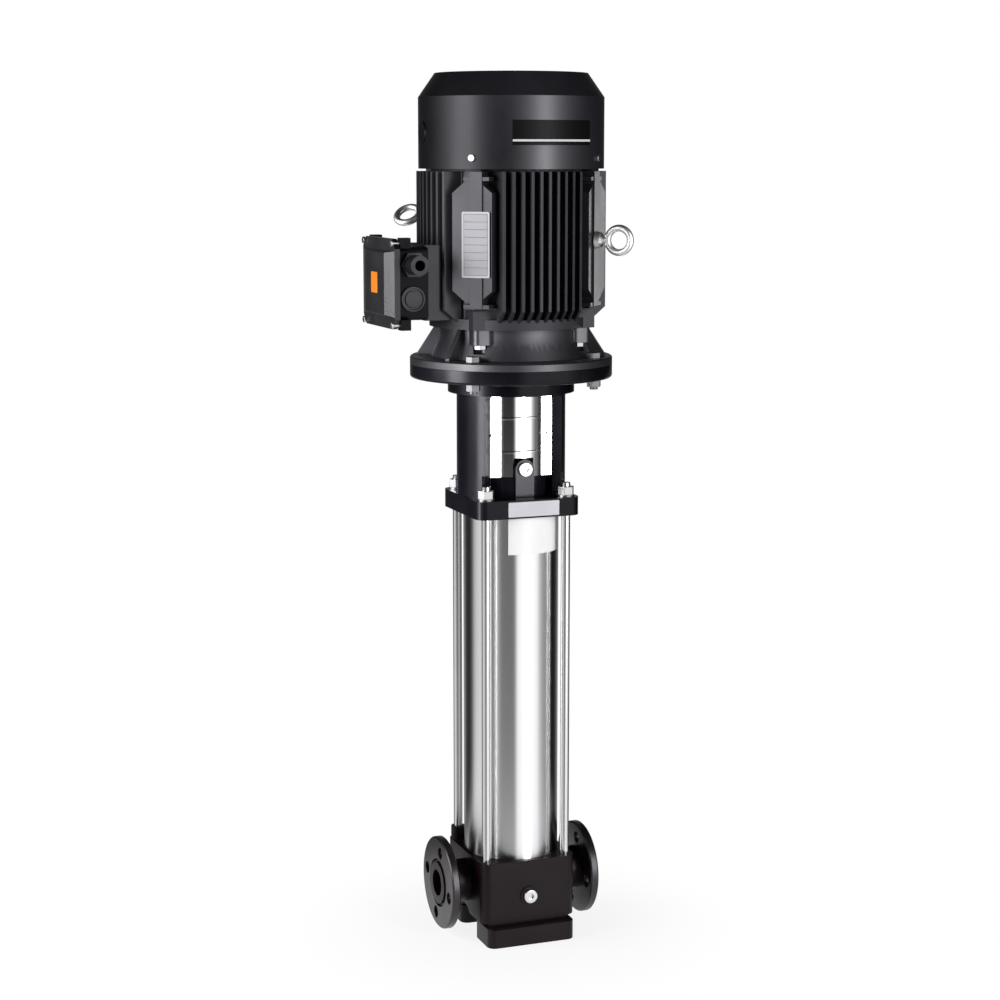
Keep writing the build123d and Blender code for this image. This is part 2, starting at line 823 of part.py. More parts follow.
# ================================================================ coupling guards
def coupling_guard(side):
    """Return one bent guard sheet; side is -1 for the front and 1 for the back."""
    wing_centre = guard_wing_depth + guard_sheet / 2
    with BuildPart() as guard:
        with BuildSketch(Plane.XY.offset(guard_bottom)):
            Circle(guard_radius)
            Circle(guard_radius - guard_sheet, mode=Mode.SUBTRACT)
            with Locations((0, side * guard_radius)):
                bulge_depth = guard_radius - guard_wing_depth + guard_bend_overlap
                Rectangle(2 * guard_bulge_half, 2 * bulge_depth, mode=Mode.INTERSECT)
            wing_inner = guard_bulge_half - guard_bend_overlap / 2
            for side_x in (-1, 1):
                with Locations((side_x * (guard_wing_half + wing_inner) / 2, side * wing_centre)):
                    Rectangle(guard_wing_half - wing_inner, guard_sheet)
        extrude(amount=guard_top - guard_bottom)
        # Two pressed beads stiffen the bulge.
        half_turn = degrees(asin(guard_bulge_half / guard_radius)) - guard_bead_end
        start = side * 90 - half_turn
        across = Plane(
            origin=(0, 0, 0),
            x_dir=(cos(radians(start)), sin(radians(start)), 0),
            z_dir=(sin(radians(start)), -cos(radians(start)), 0),
        )
        with BuildSketch(across):
            for height in guard_bead_heights:
                with Locations((guard_radius + guard_bead_rise / 2 - guard_bead_sink, height)):
                    bead_depth = guard_bead_rise + 2 * guard_bead_sink
                    Trapezoid(guard_bead_width, bead_depth, guard_bead_flank, rotation=-90)
        revolve(axis=Axis.Z, revolution_arc=2 * half_turn)
        with BuildSketch(Plane.XZ):
            with Locations((-guard_screw_x, guard_screw_z), (guard_screw_x, guard_screw_z)):
                Circle(guard_screw_radius + bolt_play / 2)
        extrude(amount=-side * guard_radius, mode=Mode.SUBTRACT)
        if side < 0:
            # A notch clears the vent boss.
            notch_top = vent_height + vent_boss_radius + guard_notch_play
            with BuildSketch(Plane.XZ.offset(guard_wing_depth)):
                with Locations((0, (guard_bottom + notch_top) / 2)):
                    Rectangle(2 * (vent_boss_radius + guard_notch_play), notch_top - guard_bottom)
            extrude(amount=2 * guard_radius, mode=Mode.SUBTRACT)
    return guard


coupling_guard_front = coupling_guard(-1)
coupling_guard_front.part.label = "coupling_guard_front"
export_step(coupling_guard_front.part, "parts/coupling_guard_front.step")
coupling_guard_rear = coupling_guard(1)
coupling_guard_rear.part.label = "coupling_guard_rear"
export_step(coupling_guard_rear.part, "parts/coupling_guard_rear.step")

with BuildPart() as guard_screws:
    guard_face = guard_wing_depth + guard_sheet
    for side in (-1, 1):
        with BuildSketch(Plane.XZ.offset(-side * guard_face)):
            with Locations((-guard_screw_x, guard_screw_z), (guard_screw_x, guard_screw_z)):
                Circle(guard_screw_head_radius)
        extrude(amount=-side * guard_screw_head_height)
        with BuildSketch(Plane.XZ.offset(-side * guard_face)):
            with Locations((-guard_screw_x, guard_screw_z), (guard_screw_x, guard_screw_z)):
                Circle(guard_screw_radius)
        extrude(amount=side * guard_screw_length)
guard_screws.part.label = "guard_screws"
export_step(guard_screws.part, "parts/guard_screws.step")

# ================================================================ hydraulic stack, still pieces
with BuildPart() as inlet_collar:
    collar_foot = inlet_well_radius + collar_wall
    collar_step = stage_stack_bottom - 2 * collar_wall
    collar_lip = stage_stack_bottom - collar_wall
    with BuildSketch(Plane.XZ):
        with BuildLine():
            Polyline(
                (collar_foot, inlet_wall_top), (inlet_wall_radius, inlet_wall_top),
                (inlet_wall_radius, collar_step), (chamber_radius, collar_step),
                (chamber_radius, stage_stack_bottom), (wear_ring_radius, stage_stack_bottom),
                (wear_ring_radius, collar_lip), (collar_foot, collar_lip), close=True,
            )
        make_face()
    revolve(axis=Axis.Z)
    # A three-armed spider carries the lower bush.
    with BuildSketch(Plane.XY.offset(lower_bush_bottom)):
        Circle(bush_radius + bush_boss_wall)
        with PolarLocations((bush_radius + collar_foot + spider_overlap) / 2, spider_arms):
            Rectangle(collar_foot - bush_radius + spider_overlap, spider_arm_width)
        Circle(bush_radius + slip_fit, mode=Mode.SUBTRACT)
    extrude(amount=bush_height)
inlet_collar.part.label = "inlet_collar"
export_step(inlet_collar.part, "parts/inlet_collar.step")

with BuildPart() as stage_chambers:
    for stage in range(stage_count):
        floor = stage_stack_bottom + stage * stage_pitch
        plate = floor + stage_pitch - chamber_plate
        disc = floor + diffuser_disc_height
        with BuildSketch(Plane.XY.offset(floor + chamber_gap)):
            Circle(chamber_radius)
            Circle(chamber_radius - chamber_wall, mode=Mode.SUBTRACT)
        extrude(amount=stage_pitch - chamber_plate - chamber_gap)
        with BuildSketch(Plane.XY.offset(plate)):
            Circle(chamber_radius)
            Circle(wear_ring_radius, mode=Mode.SUBTRACT)
        extrude(amount=chamber_plate)
        with BuildSketch(Plane.XY.offset(disc)):
            Circle(diffuser_disc_radius)
            Circle(hub_sleeve_radius + free_gap, mode=Mode.SUBTRACT)
        extrude(amount=chamber_plate)
        with BuildSketch(Plane.XY.offset(disc + chamber_plate)):
            with PolarLocations((diffuser_disc_radius + wear_ring_radius) / 2, diffuser_vanes):
                vane_length = diffuser_disc_radius - wear_ring_radius - 2 * diffuser_vane_inset
                Rectangle(vane_length, diffuser_vane_width, rotation=diffuser_vane_turn)
        extrude(amount=plate - disc - chamber_plate)
stage_chambers.part.label = "stage_chambers"
export_step(stage_chambers.part, "parts/stage_chambers.step")

with BuildPart() as outlet_collar:
    plate_top = stage_stack_top + collar_plate
    with BuildSketch(Plane.XY.offset(stage_stack_top)):
        Circle(chamber_radius)
        with PolarLocations((chamber_radius + bush_radius) / 2, collar_holes):
            Circle(collar_hole_radius, mode=Mode.SUBTRACT)
    extrude(amount=collar_plate)
    with BuildSketch(Plane.XY.offset(plate_top)):
        Circle(bush_radius + bush_boss_wall)
    extrude(amount=upper_bush_bottom + bush_height - plate_top)
    with BuildSketch(Plane.XY.offset(plate_top)):
        Circle(chamber_radius)
        Circle(chamber_radius - collar_wall, mode=Mode.SUBTRACT)
    extrude(amount=head_floor - plate_top)
    # Ports in the wall let the water turn out and down behind the sleeve.
    for across in (Plane.XZ, Plane.YZ):
        with BuildSketch(across):
            with Locations((0, head_floor - collar_port_drop - collar_port_height / 2)):
                Rectangle(collar_port_width, collar_port_height)
        extrude(amount=chamber_radius, both=True, mode=Mode.SUBTRACT)
    with BuildSketch(Plane.XY.offset(stage_stack_top)):
        Circle(bush_radius + slip_fit)
    extrude(amount=head_floor - stage_stack_top, mode=Mode.SUBTRACT)
outlet_collar.part.label = "outlet_collar"
export_step(outlet_collar.part, "parts/outlet_collar.step")

with BuildPart() as shaft_bushes:
    for foot in (lower_bush_bottom, upper_bush_bottom):
        with BuildSketch(Plane.XY.offset(foot)):
            Circle(bush_radius)
            Circle(pump_shaft_radius + running_fit, mode=Mode.SUBTRACT)
        extrude(amount=bush_height)
shaft_bushes.part.label = "shaft_bushes"
export_step(shaft_bushes.part, "parts/shaft_bushes.step")

# ================================================================ hydraulic stack, turning pieces
with BuildPart() as pump_shaft:
    with BuildSketch(Plane.XY.offset(pump_shaft_bottom)):
        Circle(pump_shaft_radius)
    extrude(amount=pump_shaft_top - pump_shaft_bottom)
    chamfer(pump_shaft.edges(), shaft_edge)
pump_shaft.part.label = "pump_shaft"
export_step(pump_shaft.part, "parts/pump_shaft.step")

with BuildPart() as impellers:
    bore = pump_shaft_radius + running_fit
    for stage in range(stage_count):
        foot = stage_stack_bottom + stage * stage_pitch + impeller_bottom
        neck = wear_ring_radius - free_gap
        shroud_top = foot + impeller_shroud
        back = foot + impeller_width - impeller_shroud
        # Hub and back plate.
        with BuildSketch(Plane.XZ):
            with BuildLine():
                Polyline(
                    (bore, foot), (hub_sleeve_radius, foot), (hub_sleeve_radius, back),
                    (impeller_radius, back), (impeller_radius, back + impeller_shroud),
                    (hub_sleeve_radius, back + impeller_shroud), (hub_sleeve_radius, foot + stage_pitch),
                    (bore, foot + stage_pitch), close=True,
                )
            make_face()
        revolve(axis=Axis.Z)
        # Front plate with its neck, which runs in the plate below.
        with BuildSketch(Plane.XZ):
            with BuildLine():
                Polyline(
                    (neck - impeller_neck_wall, foot - impeller_neck_drop), (neck, foot - impeller_neck_drop),
                    (neck, foot), (impeller_radius, foot), (impeller_radius, shroud_top),
                    (neck - impeller_neck_wall, shroud_top), close=True,
                )
            make_face()
        revolve(axis=Axis.Z)
        # Swept-back blades between the plates.
        with BuildSketch(Plane.XY.offset(shroud_top)):
            with PolarLocations((impeller_radius + neck) / 2 - blade_inset, impeller_blades):
                blade_length = impeller_radius - neck + 2 * blade_inset
                Rectangle(blade_length, impeller_blade_thickness, rotation=impeller_blade_turn)
        extrude(amount=back - shroud_top)
impellers.part.label = "impellers"
export_step(impellers.part, "parts/impellers.step")

with BuildPart() as shaft_nut:
    with BuildSketch(Plane.XY.offset(stage_stack_bottom + impeller_bottom - shaft_nut_height)):
        RegularPolygon(shaft_nut_flats / 2, 6, major_radius=False)
        Circle(pump_shaft_radius + running_fit, mode=Mode.SUBTRACT)
    extrude(amount=shaft_nut_height)
shaft_nut.part.label = "shaft_nut"
export_step(shaft_nut.part, "parts/shaft_nut.step")


# ================================================================ coupling
def coupling_half(side):
    """Return one half of the split coupling; side is -1 for the left half and 1 for the right."""
    with BuildPart() as half:
        motor_shaft_end = motor_face - motor_shaft_length
        with BuildSketch(Plane.XY.offset(coupling_bottom)):
            Circle(coupling_radius)
        extrude(amount=coupling_top - coupling_bottom)
        chamfer(half.edges().filter_by(GeomType.CIRCLE), coupling_edge)
        with BuildSketch(Plane.XY.offset(coupling_bottom)):
            Circle(pump_shaft_radius + running_fit)
        extrude(amount=coupling_top - coupling_bottom, mode=Mode.SUBTRACT)
        step_height = motor_shaft_end - shaft_end_gap
        with BuildSketch(Plane.XY.offset(step_height)):
            Circle(motor_shaft_radius + running_fit)
        extrude(amount=coupling_top - step_height, mode=Mode.SUBTRACT)
        with BuildSketch(Plane.YZ):
            for height in coupling_screw_heights:
                with Locations((-coupling_screw_y, height), (coupling_screw_y, height)):
                    Circle(coupling_screw_radius + slip_fit)
        extrude(amount=coupling_radius, both=True, mode=Mode.SUBTRACT)
        with BuildSketch(Plane.YZ.offset(coupling_head_bottom)):
            for height in coupling_screw_heights:
                with Locations((-coupling_screw_y, height), (coupling_screw_y, height)):
                    Circle(coupling_head_radius + free_gap)
        extrude(amount=coupling_radius, mode=Mode.SUBTRACT)
        with BuildSketch(Plane.XY.offset(coupling_bottom)):
            with Locations((side * (coupling_radius + coupling_split / 2), 0)):
                Rectangle(2 * coupling_radius, 2 * coupling_radius)
        extrude(amount=coupling_top - coupling_bottom, mode=Mode.INTERSECT)
    return half


coupling_half_left = coupling_half(-1)
coupling_half_left.part.label = "coupling_half_left"
export_step(coupling_half_left.part, "parts/coupling_half_left.step")
coupling_half_right = coupling_half(1)
coupling_half_right.part.label = "coupling_half_right"
export_step(coupling_half_right.part, "parts/coupling_half_right.step")

with BuildPart() as coupling_screws:
    with BuildSketch(Plane.YZ.offset(coupling_head_bottom)):
        for height in coupling_screw_heights:
            with Locations((-coupling_screw_y, height), (coupling_screw_y, height)):
                Circle(coupling_head_radius)
    extrude(amount=coupling_head_height)
    with BuildSketch(Plane.YZ.offset(coupling_head_bottom)):
        for height in coupling_screw_heights:
            with Locations((-coupling_screw_y, height), (coupling_screw_y, height)):
                Circle(coupling_screw_radius)
    extrude(amount=-(coupling_head_bottom + coupling_screw_reach))
coupling_screws.part.label = "coupling_screws"
export_step(coupling_screws.part, "parts/coupling_screws.step")

# ================================================================ drive-end shield
with BuildPart() as drive_end_shield:
    flange_top = motor_face + flange_thickness_motor
    housing_top = drive_bearing_bottom + drive_bearing_width
    with BuildSketch(Plane.XZ):
        with BuildLine():
            Polyline(
                (0, motor_face - spigot_height), (spigot_radius, motor_face - spigot_height),
                (spigot_radius, motor_face), (motor_flange_radius, motor_face),
                (motor_flange_radius, flange_top), (bell_foot_radius, flange_top),
                (bell_top_radius, frame_bottom - bell_top_band), (bell_top_radius, frame_bottom),
                (0, frame_bottom), close=True,
            )
        make_face()
    revolve(axis=Axis.Z)
    flange_rims = [
        edge
        for edge in drive_end_shield.edges().filter_by(GeomType.CIRCLE)
        if abs(edge.radius - motor_flange_radius) < 0.1 and edge.center().Z > motor_face + 1
    ]
    chamfer(flange_rims, shield_flange_edge)
    # Slanting gussets tie the bell to the flange beside the pipe axis.
    gusset_root = bell_top_radius - 4 * gusset_sink
    for angle in gusset_angles:
        across = Plane(
            origin=(0, 0, 0),
            x_dir=(cos(radians(angle)), sin(radians(angle)), 0),
            z_dir=(sin(radians(angle)), -cos(radians(angle)), 0),
        )
        with BuildSketch(across):
            with BuildLine():
                Polyline(
                    (gusset_root, flange_top - gusset_sink), (gusset_foot_radius, flange_top - gusset_sink),
                    (gusset_foot_radius, flange_top + gusset_foot_rise), (gusset_top_radius, frame_bottom),
                    (gusset_root, frame_bottom), close=True,
                )
            make_face()
        extrude(amount=gusset_thickness / 2, both=True)
    # Corner lugs under the frame's lugs, with pockets in the bell for the bolt heads.
    with BuildSketch(Plane.XY.offset(shield_lug_bottom)):
        with Locations(*corner_points):
            RectangleRounded(shield_lug_size, shield_lug_size, shield_lug_corner)
    extrude(amount=frame_bottom - shield_lug_bottom)
    with BuildSketch(Plane.XY.offset(shield_lug_bottom)):
        with Locations(*corner_points):
            Circle(corner_pocket_radius)
    extrude(amount=-corner_pocket_depth, mode=Mode.SUBTRACT)
    with BuildSketch(Plane.XZ):
        with BuildLine():
            Polyline(
                (0, motor_face - spigot_height), (shaft_hole_radius, motor_face - spigot_height),
                (shaft_hole_radius, drive_bearing_bottom),
                (drive_bearing_radius + slip_fit, drive_bearing_bottom),
                (drive_bearing_radius + slip_fit, housing_top), (bearing_housing_radius, housing_top),
                (bearing_housing_radius, bell_cavity_floor), (bell_cavity_radius, bell_cavity_floor),
                (bell_cavity_radius, frame_bottom), (0, frame_bottom), close=True,
            )
        make_face()
    revolve(axis=Axis.Z, mode=Mode.SUBTRACT)
    with BuildSketch(Plane.XY.offset(motor_face)):
        with Locations(*flange_points):
            Circle(motor_hole_radius)
    extrude(amount=flange_thickness_motor, mode=Mode.SUBTRACT)
    with BuildSketch(Plane.XY.offset(shield_lug_bottom)):
        with Locations(*corner_points):
            Circle(corner_bolt_radius + bolt_play)
    extrude(amount=frame_bottom - shield_lug_bottom, mode=Mode.SUBTRACT)
drive_end_shield.part.label = "drive_end_shield"
export_step(drive_end_shield.part, "parts/drive_end_shield.step")

with BuildPart() as flange_bolts:
    with BuildSketch(Plane.XY.offset(flange_top)):
        with Locations(*flange_points):
            RegularPolygon(flange_bolt_flats / 2, 6, major_radius=False)
    extrude(amount=flange_bolt_head)
    with BuildSketch(Plane.XY.offset(flange_top)):
        with Locations(*flange_points):
            Circle(flange_bolt_radius)
    extrude(amount=-(flange_top - stool_disc_bottom + flange_nut_height + flange_bolt_stub))
flange_bolts.part.label = "flange_bolts"
export_step(flange_bolts.part, "parts/flange_bolts.step")

with BuildPart() as flange_nuts:
    with BuildSketch(Plane.XY.offset(stool_disc_bottom)):
        with Locations(*flange_points):
            RegularPolygon(flange_bolt_flats / 2, 6, major_radius=False)
            Circle(flange_bolt_radius + slip_fit, mode=Mode.SUBTRACT)
    extrude(amount=-flange_nut_height)
flange_nuts.part.label = "flange_nuts"
export_step(flange_nuts.part, "parts/flange_nuts.step")

with BuildPart() as corner_bolts:
    with BuildSketch(Plane.XY.offset(shield_lug_bottom)):
        with Locations(*corner_points):
            RegularPolygon(corner_bolt_flats / 2, 6, major_radius=False)
    extrude(amount=-corner_bolt_head)
    with BuildSketch(Plane.XY.offset(shield_lug_bottom)):
        with Locations(*corner_points):
            Circle(corner_bolt_radius)
    extrude(amount=frame_bottom - shield_lug_bottom + corner_bolt_grip - bolt_end_gap)
corner_bolts.part.label = "corner_bolts"
export_step(corner_bolts.part, "parts/corner_bolts.step")


# ================================================================ finned motor frame
def pad_plane(azimuth, distance):
    """Return the plane that faces outwards at a corner of the frame, with its y axis up."""
    outwards = (cos(radians(azimuth)), sin(radians(azimuth)), 0)
    along = (-sin(radians(azimuth)), cos(radians(azimuth)), 0)
    return Plane(origin=[distance * part for part in outwards], x_dir=along, z_dir=outwards)


def rib_shift(azimuth):
    """Return the rib's place across its pad; each rib lies nearer to the front or back face."""
    return pad_rib_offset if azimuth in (45, -135) else -pad_rib_offset


corner_azimuths = (-135, -45, 45, 135)
with BuildPart() as motor_frame:
    # Four fields of parallel fins, trimmed to a round outline that narrows at the foot.
    fin_places = [(k - (fins_per_side - 1) / 2) * fin_pitch for k in range(fins_per_side)]
    fin_depth = fin_envelope_radius - fin_root + fin_trim
    fin_middle = fin_root + fin_depth / 2
    with BuildSketch(Plane.XY.offset(frame_ring_top - fin_sink)):
        for side in (-1, 1):
            for place in fin_places:
                with Locations((place, side * fin_middle)):
                    Rectangle(fin_thickness, fin_depth)
                with Locations((side * fin_middle, place)):
                    Rectangle(fin_depth, fin_thickness)
    extrude(amount=frame_top - frame_ring_top + fin_sink)
    with BuildSketch(Plane.XZ):
        with BuildLine():
            Polyline(
                (0, frame_ring_top - fin_sink), (frame_ring_radius, frame_ring_top - fin_sink),
                (fin_envelope_radius, frame_ring_top + fin_skirt), (fin_envelope_radius, frame_top),
                (0, frame_top), close=True,
            )
        make_face()
    revolve(axis=Axis.Z, mode=Mode.INTERSECT)
    with BuildSketch(Plane.XY.offset(frame_bottom)):
        Circle(frame_body_radius)
    extrude(amount=frame_top - frame_bottom)
    with BuildSketch(Plane.XY.offset(frame_bottom)):
        Circle(frame_ring_radius)
    extrude(amount=frame_ring_top - frame_bottom)
    # Corner pads with cut corners, each with a rib and a short shelf above and below.
    for azimuth in corner_azimuths:
        half = pad_width / 2
        shift = rib_shift(azimuth)
        rib_foot = pad_bottom - pad_rib_drop
        inwards = pad_distance - frame_bore_radius - pad_sink
        with BuildSketch(pad_plane(azimuth, pad_distance)):
            with BuildLine():
                Polyline(
                    (-half, pad_bottom + pad_chamfer_up), (-half, pad_top - pad_chamfer_up),
                    (-half + pad_chamfer_across, pad_top), (half - pad_chamfer_across, pad_top),
                    (half, pad_top - pad_chamfer_up), (half, pad_bottom + pad_chamfer_up),
                    (half - pad_chamfer_across, pad_bottom), (-half + pad_chamfer_across, pad_bottom),
                    close=True,
                )
            make_face()
        extrude(amount=-inwards)
        with BuildSketch(pad_plane(azimuth, pad_distance + pad_rib_rise)):
            with Locations((shift, (rib_foot + frame_top) / 2)):
                Rectangle(pad_rib_width, frame_top - rib_foot)
        extrude(amount=-inwards - pad_rib_rise)
        with BuildSketch(pad_plane(azimuth, pad_distance + shelf_rise)):
            for height in (pad_top + shelf_thickness / 2, rib_foot + shelf_thickness / 2):
                with Locations((shift, height)):
                    Rectangle(shelf_length, shelf_thickness)
        extrude(amount=-inwards - shelf_rise)
    # Lugs that take the corner bolts.
    with BuildSketch(Plane.XY.offset(frame_bottom)):
        with Locations(*corner_points):
            Rectangle(lug_size, lug_size)
    extrude(amount=lug_top - frame_bottom)
    # The saddle carries the terminal box on the inlet side.
    with BuildSketch(Plane.YZ.offset(-box_back)):
        with Locations((0, box_height)):
            Rectangle(2 * saddle_half_width, 2 * saddle_half_height)
    extrude(amount=box_back - frame_bore_radius + saddle_sink)
    with BuildSketch(Plane.XY.offset(frame_bottom)):
        Circle(frame_bore_radius + slip_fit)
    extrude(amount=frame_top - frame_bottom, mode=Mode.SUBTRACT)
    with BuildSketch(Plane.XY.offset(frame_bottom)):
        with Locations(*corner_points):
            Circle(corner_bolt_radius + slip_fit)
    extrude(amount=corner_bolt_grip, mode=Mode.SUBTRACT)
    # Tapped holes for the two lifting eyes.
    for azimuth, height in ((135, left_eye_height), (-45, right_eye_height)):
        with BuildSketch(pad_plane(azimuth, pad_distance + pad_rib_rise)):
            with Locations((rib_shift(azimuth), height)):
                Circle(eye_shank_radius + slip_fit)
        extrude(amount=-(eye_shank_length + hole_run_out), mode=Mode.SUBTRACT)
motor_frame.part.label = "motor_frame"
export_step(motor_frame.part, "parts/motor_frame.step")


# ================================================================ lifting eyes
def lifting_eye(azimuth, height, twist):
    """Return an eye bolt whose shank points out of a corner pad and whose ring is turned by twist."""
    seat = pad_distance + pad_rib_rise
    with BuildPart() as eye:
        with BuildSketch(pad_plane(azimuth, seat)):
            with Locations((rib_shift(azimuth), height)):
                Circle(eye_collar_radius)
        extrude(amount=eye_collar_height, taper=eye_collar_taper)
        with BuildSketch(pad_plane(azimuth, seat)):
            with Locations((rib_shift(azimuth), height)):
                Circle(eye_shank_radius)
        extrude(amount=-eye_shank_length)
        with BuildSketch(pad_plane(azimuth, seat)):
            with Locations((rib_shift(azimuth), height)):
                Circle(eye_stem_radius)
        extrude(amount=eye_distance - eye_ring_radius - seat)
        face = pad_plane(azimuth, eye_distance)
        centre = face.from_local_coords((rib_shift(azimuth), height, 0))
        normal = face.x_dir.rotate(Axis((0, 0, 0), face.z_dir), twist)
        ring_plane = Plane(origin=centre, x_dir=face.z_dir, z_dir=normal)
        with Locations(ring_plane):
            Torus(eye_ring_radius, eye_wire_radius)
    return eye


eye_bolt_left = lifting_eye(135, left_eye_height, left_eye_twist)
eye_bolt_left.part.label = "eye_bolt_left"
export_step(eye_bolt_left.part, "parts/eye_bolt_left.step")
eye_bolt_right = lifting_eye(-45, right_eye_height, right_eye_twist)
eye_bolt_right.part.label = "eye_bolt_right"
export_step(eye_bolt_right.part, "parts/eye_bolt_right.step")

# ================================================================ motor inside
with BuildPart() as stator_core:
    with BuildSketch(Plane.XY.offset(stator_bottom)):
        Circle(frame_bore_radius)
        Circle(air_gap_radius, mode=Mode.SUBTRACT)
    extrude(amount=stator_top - stator_bottom)
stator_core.part.label = "stator_core"
export_step(stator_core.part, "parts/stator_core.step")

with BuildPart() as stator_windings:
    for foot in (stator_bottom - winding_overhang, stator_top):
        with BuildSketch(Plane.XY.offset(foot)):
            Circle(winding_outer)
            Circle(winding_inner, mode=Mode.SUBTRACT)
        extrude(amount=winding_overhang)
stator_windings.part.label = "stator_windings"
export_step(stator_windings.part, "parts/stator_windings.step")

with BuildPart() as motor_shaft:
    motor_shaft_end = motor_face - motor_shaft_length
    bearing_shoulder = housing_top + free_gap
    fan_shoulder = fan_bearing_bottom - free_gap
    fan_seat = fan_bearing_bottom + fan_bearing_width + bearing_seat_run
    with BuildSketch(Plane.XZ):
        with BuildLine():
            Polyline(
                (0, motor_shaft_end), (motor_shaft_radius, motor_shaft_end),
                (motor_shaft_radius, motor_face + motor_shaft_step), (bearing_seat_radius, motor_face + motor_shaft_step),
                (bearing_seat_radius, bearing_shoulder), (shaft_shoulder_radius, bearing_shoulder),
                (shaft_shoulder_radius, stator_bottom), (rotor_seat_radius, stator_bottom),
                (rotor_seat_radius, stator_top), (shaft_shoulder_radius, stator_top),
                (shaft_shoulder_radius, fan_shoulder), (bearing_seat_radius, fan_shoulder),
                (bearing_seat_radius, fan_seat), (fan_seat_radius, fan_seat),
                (fan_seat_radius, motor_shaft_top), (0, motor_shaft_top), close=True,
            )
        make_face()
    revolve(axis=Axis.Z)
motor_shaft.part.label = "motor_shaft"
export_step(motor_shaft.part, "parts/motor_shaft.step")

with BuildPart() as rotor_core:
    with BuildSketch(Plane.XY.offset(stator_bottom)):
        Circle(rotor_core_radius)
        Circle(rotor_seat_radius + running_fit, mode=Mode.SUBTRACT)
    extrude(amount=stator_top - stator_bottom)
rotor_core.part.label = "rotor_core"
export_step(rotor_core.part, "parts/rotor_core.step")

with BuildPart() as drive_end_bearing:
    with BuildSketch(Plane.XY.offset(drive_bearing_bottom)):
        Circle(drive_bearing_radius)
        Circle(bearing_seat_radius + running_fit, mode=Mode.SUBTRACT)
    extrude(amount=drive_bearing_width)
drive_end_bearing.part.label = "drive_end_bearing"
export_step(drive_end_bearing.part, "parts/drive_end_bearing.step")

with BuildPart() as fan_end_bearing:
    with BuildSketch(Plane.XY.offset(fan_bearing_bottom)):
        Circle(fan_bearing_radius)
        Circle(bearing_seat_radius + running_fit, mode=Mode.SUBTRACT)
    extrude(amount=fan_bearing_width)
fan_end_bearing.part.label = "fan_end_bearing"
export_step(fan_end_bearing.part, "parts/fan_end_bearing.step")

# ================================================================ fan end
cowl_bore = cowl_radius - cowl_wall
with BuildPart() as fan_end_shield:
    plate_top = frame_top + fan_shield_plate
    with BuildSketch(Plane.XY.offset(frame_top)):
        Circle(fan_shield_radius)
    extrude(amount=fan_shield_plate)
    with BuildSketch(Plane.XY.offset(fan_bearing_bottom)):
        Circle(fan_housing_radius)
    extrude(amount=frame_top - fan_bearing_bottom)
    # Four posts inside the cowl take its screws.
    with BuildSketch(Plane.XY.offset(frame_top)):
        Circle(cowl_bore - free_gap)
        Circle(post_inner, mode=Mode.SUBTRACT)
        with BuildSketch(mode=Mode.INTERSECT):
            Rectangle(post_width, 2 * cowl_radius, rotation=45)
            Rectangle(post_width, 2 * cowl_radius, rotation=-45)
    extrude(amount=post_top - frame_top)
    with BuildSketch(Plane.XY.offset(frame_top)):
        Rectangle(post_width, 2 * (post_inner + post_sink), rotation=45)
        Rectangle(post_width, 2 * (post_inner + post_sink), rotation=-45)
    extrude(amount=fan_shield_plate)
    with BuildSketch(Plane.XY.offset(fan_bearing_bottom)):
        Circle(fan_bearing_radius + slip_fit)
    extrude(amount=fan_bearing_width, mode=Mode.SUBTRACT)
    with BuildSketch(Plane.XY.offset(fan_bearing_bottom)):
        Circle(shaft_hole_radius)
    extrude(amount=plate_top - fan_bearing_bottom, mode=Mode.SUBTRACT)
    for azimuth in corner_azimuths:
        with BuildSketch(pad_plane(azimuth, cowl_radius)):
            with Locations((0, cowl_screw_height)):
                Circle(cowl_screw_radius + slip_fit)
        extrude(amount=-(cowl_screw_length + hole_run_out), mode=Mode.SUBTRACT)
fan_end_shield.part.label = "fan_end_shield"
export_step(fan_end_shield.part, "parts/fan_end_shield.step")

with BuildPart() as cooling_fan:
    with BuildSketch(Plane.XY.offset(fan_bottom)):
        Circle(fan_hub_radius)
    extrude(amount=fan_hub_height)
    with BuildSketch(Plane.XY.offset(fan_bottom)):
        Circle(fan_radius)
    extrude(amount=fan_disc)
    with BuildSketch(Plane.XY.offset(fan_bottom + fan_disc)):
        with PolarLocations((fan_radius + fan_hub_radius - fan_blade_sink) / 2, fan_blades):
            Rectangle(fan_radius - fan_hub_radius + fan_blade_sink, fan_blade_thickness)
    extrude(amount=fan_height - fan_disc)
    with BuildSketch(Plane.XY.offset(fan_bottom)):
        Circle(fan_seat_radius + running_fit)
    extrude(amount=fan_height, mode=Mode.SUBTRACT)
cooling_fan.part.label = "cooling_fan"
export_step(cooling_fan.part, "parts/cooling_fan.step")

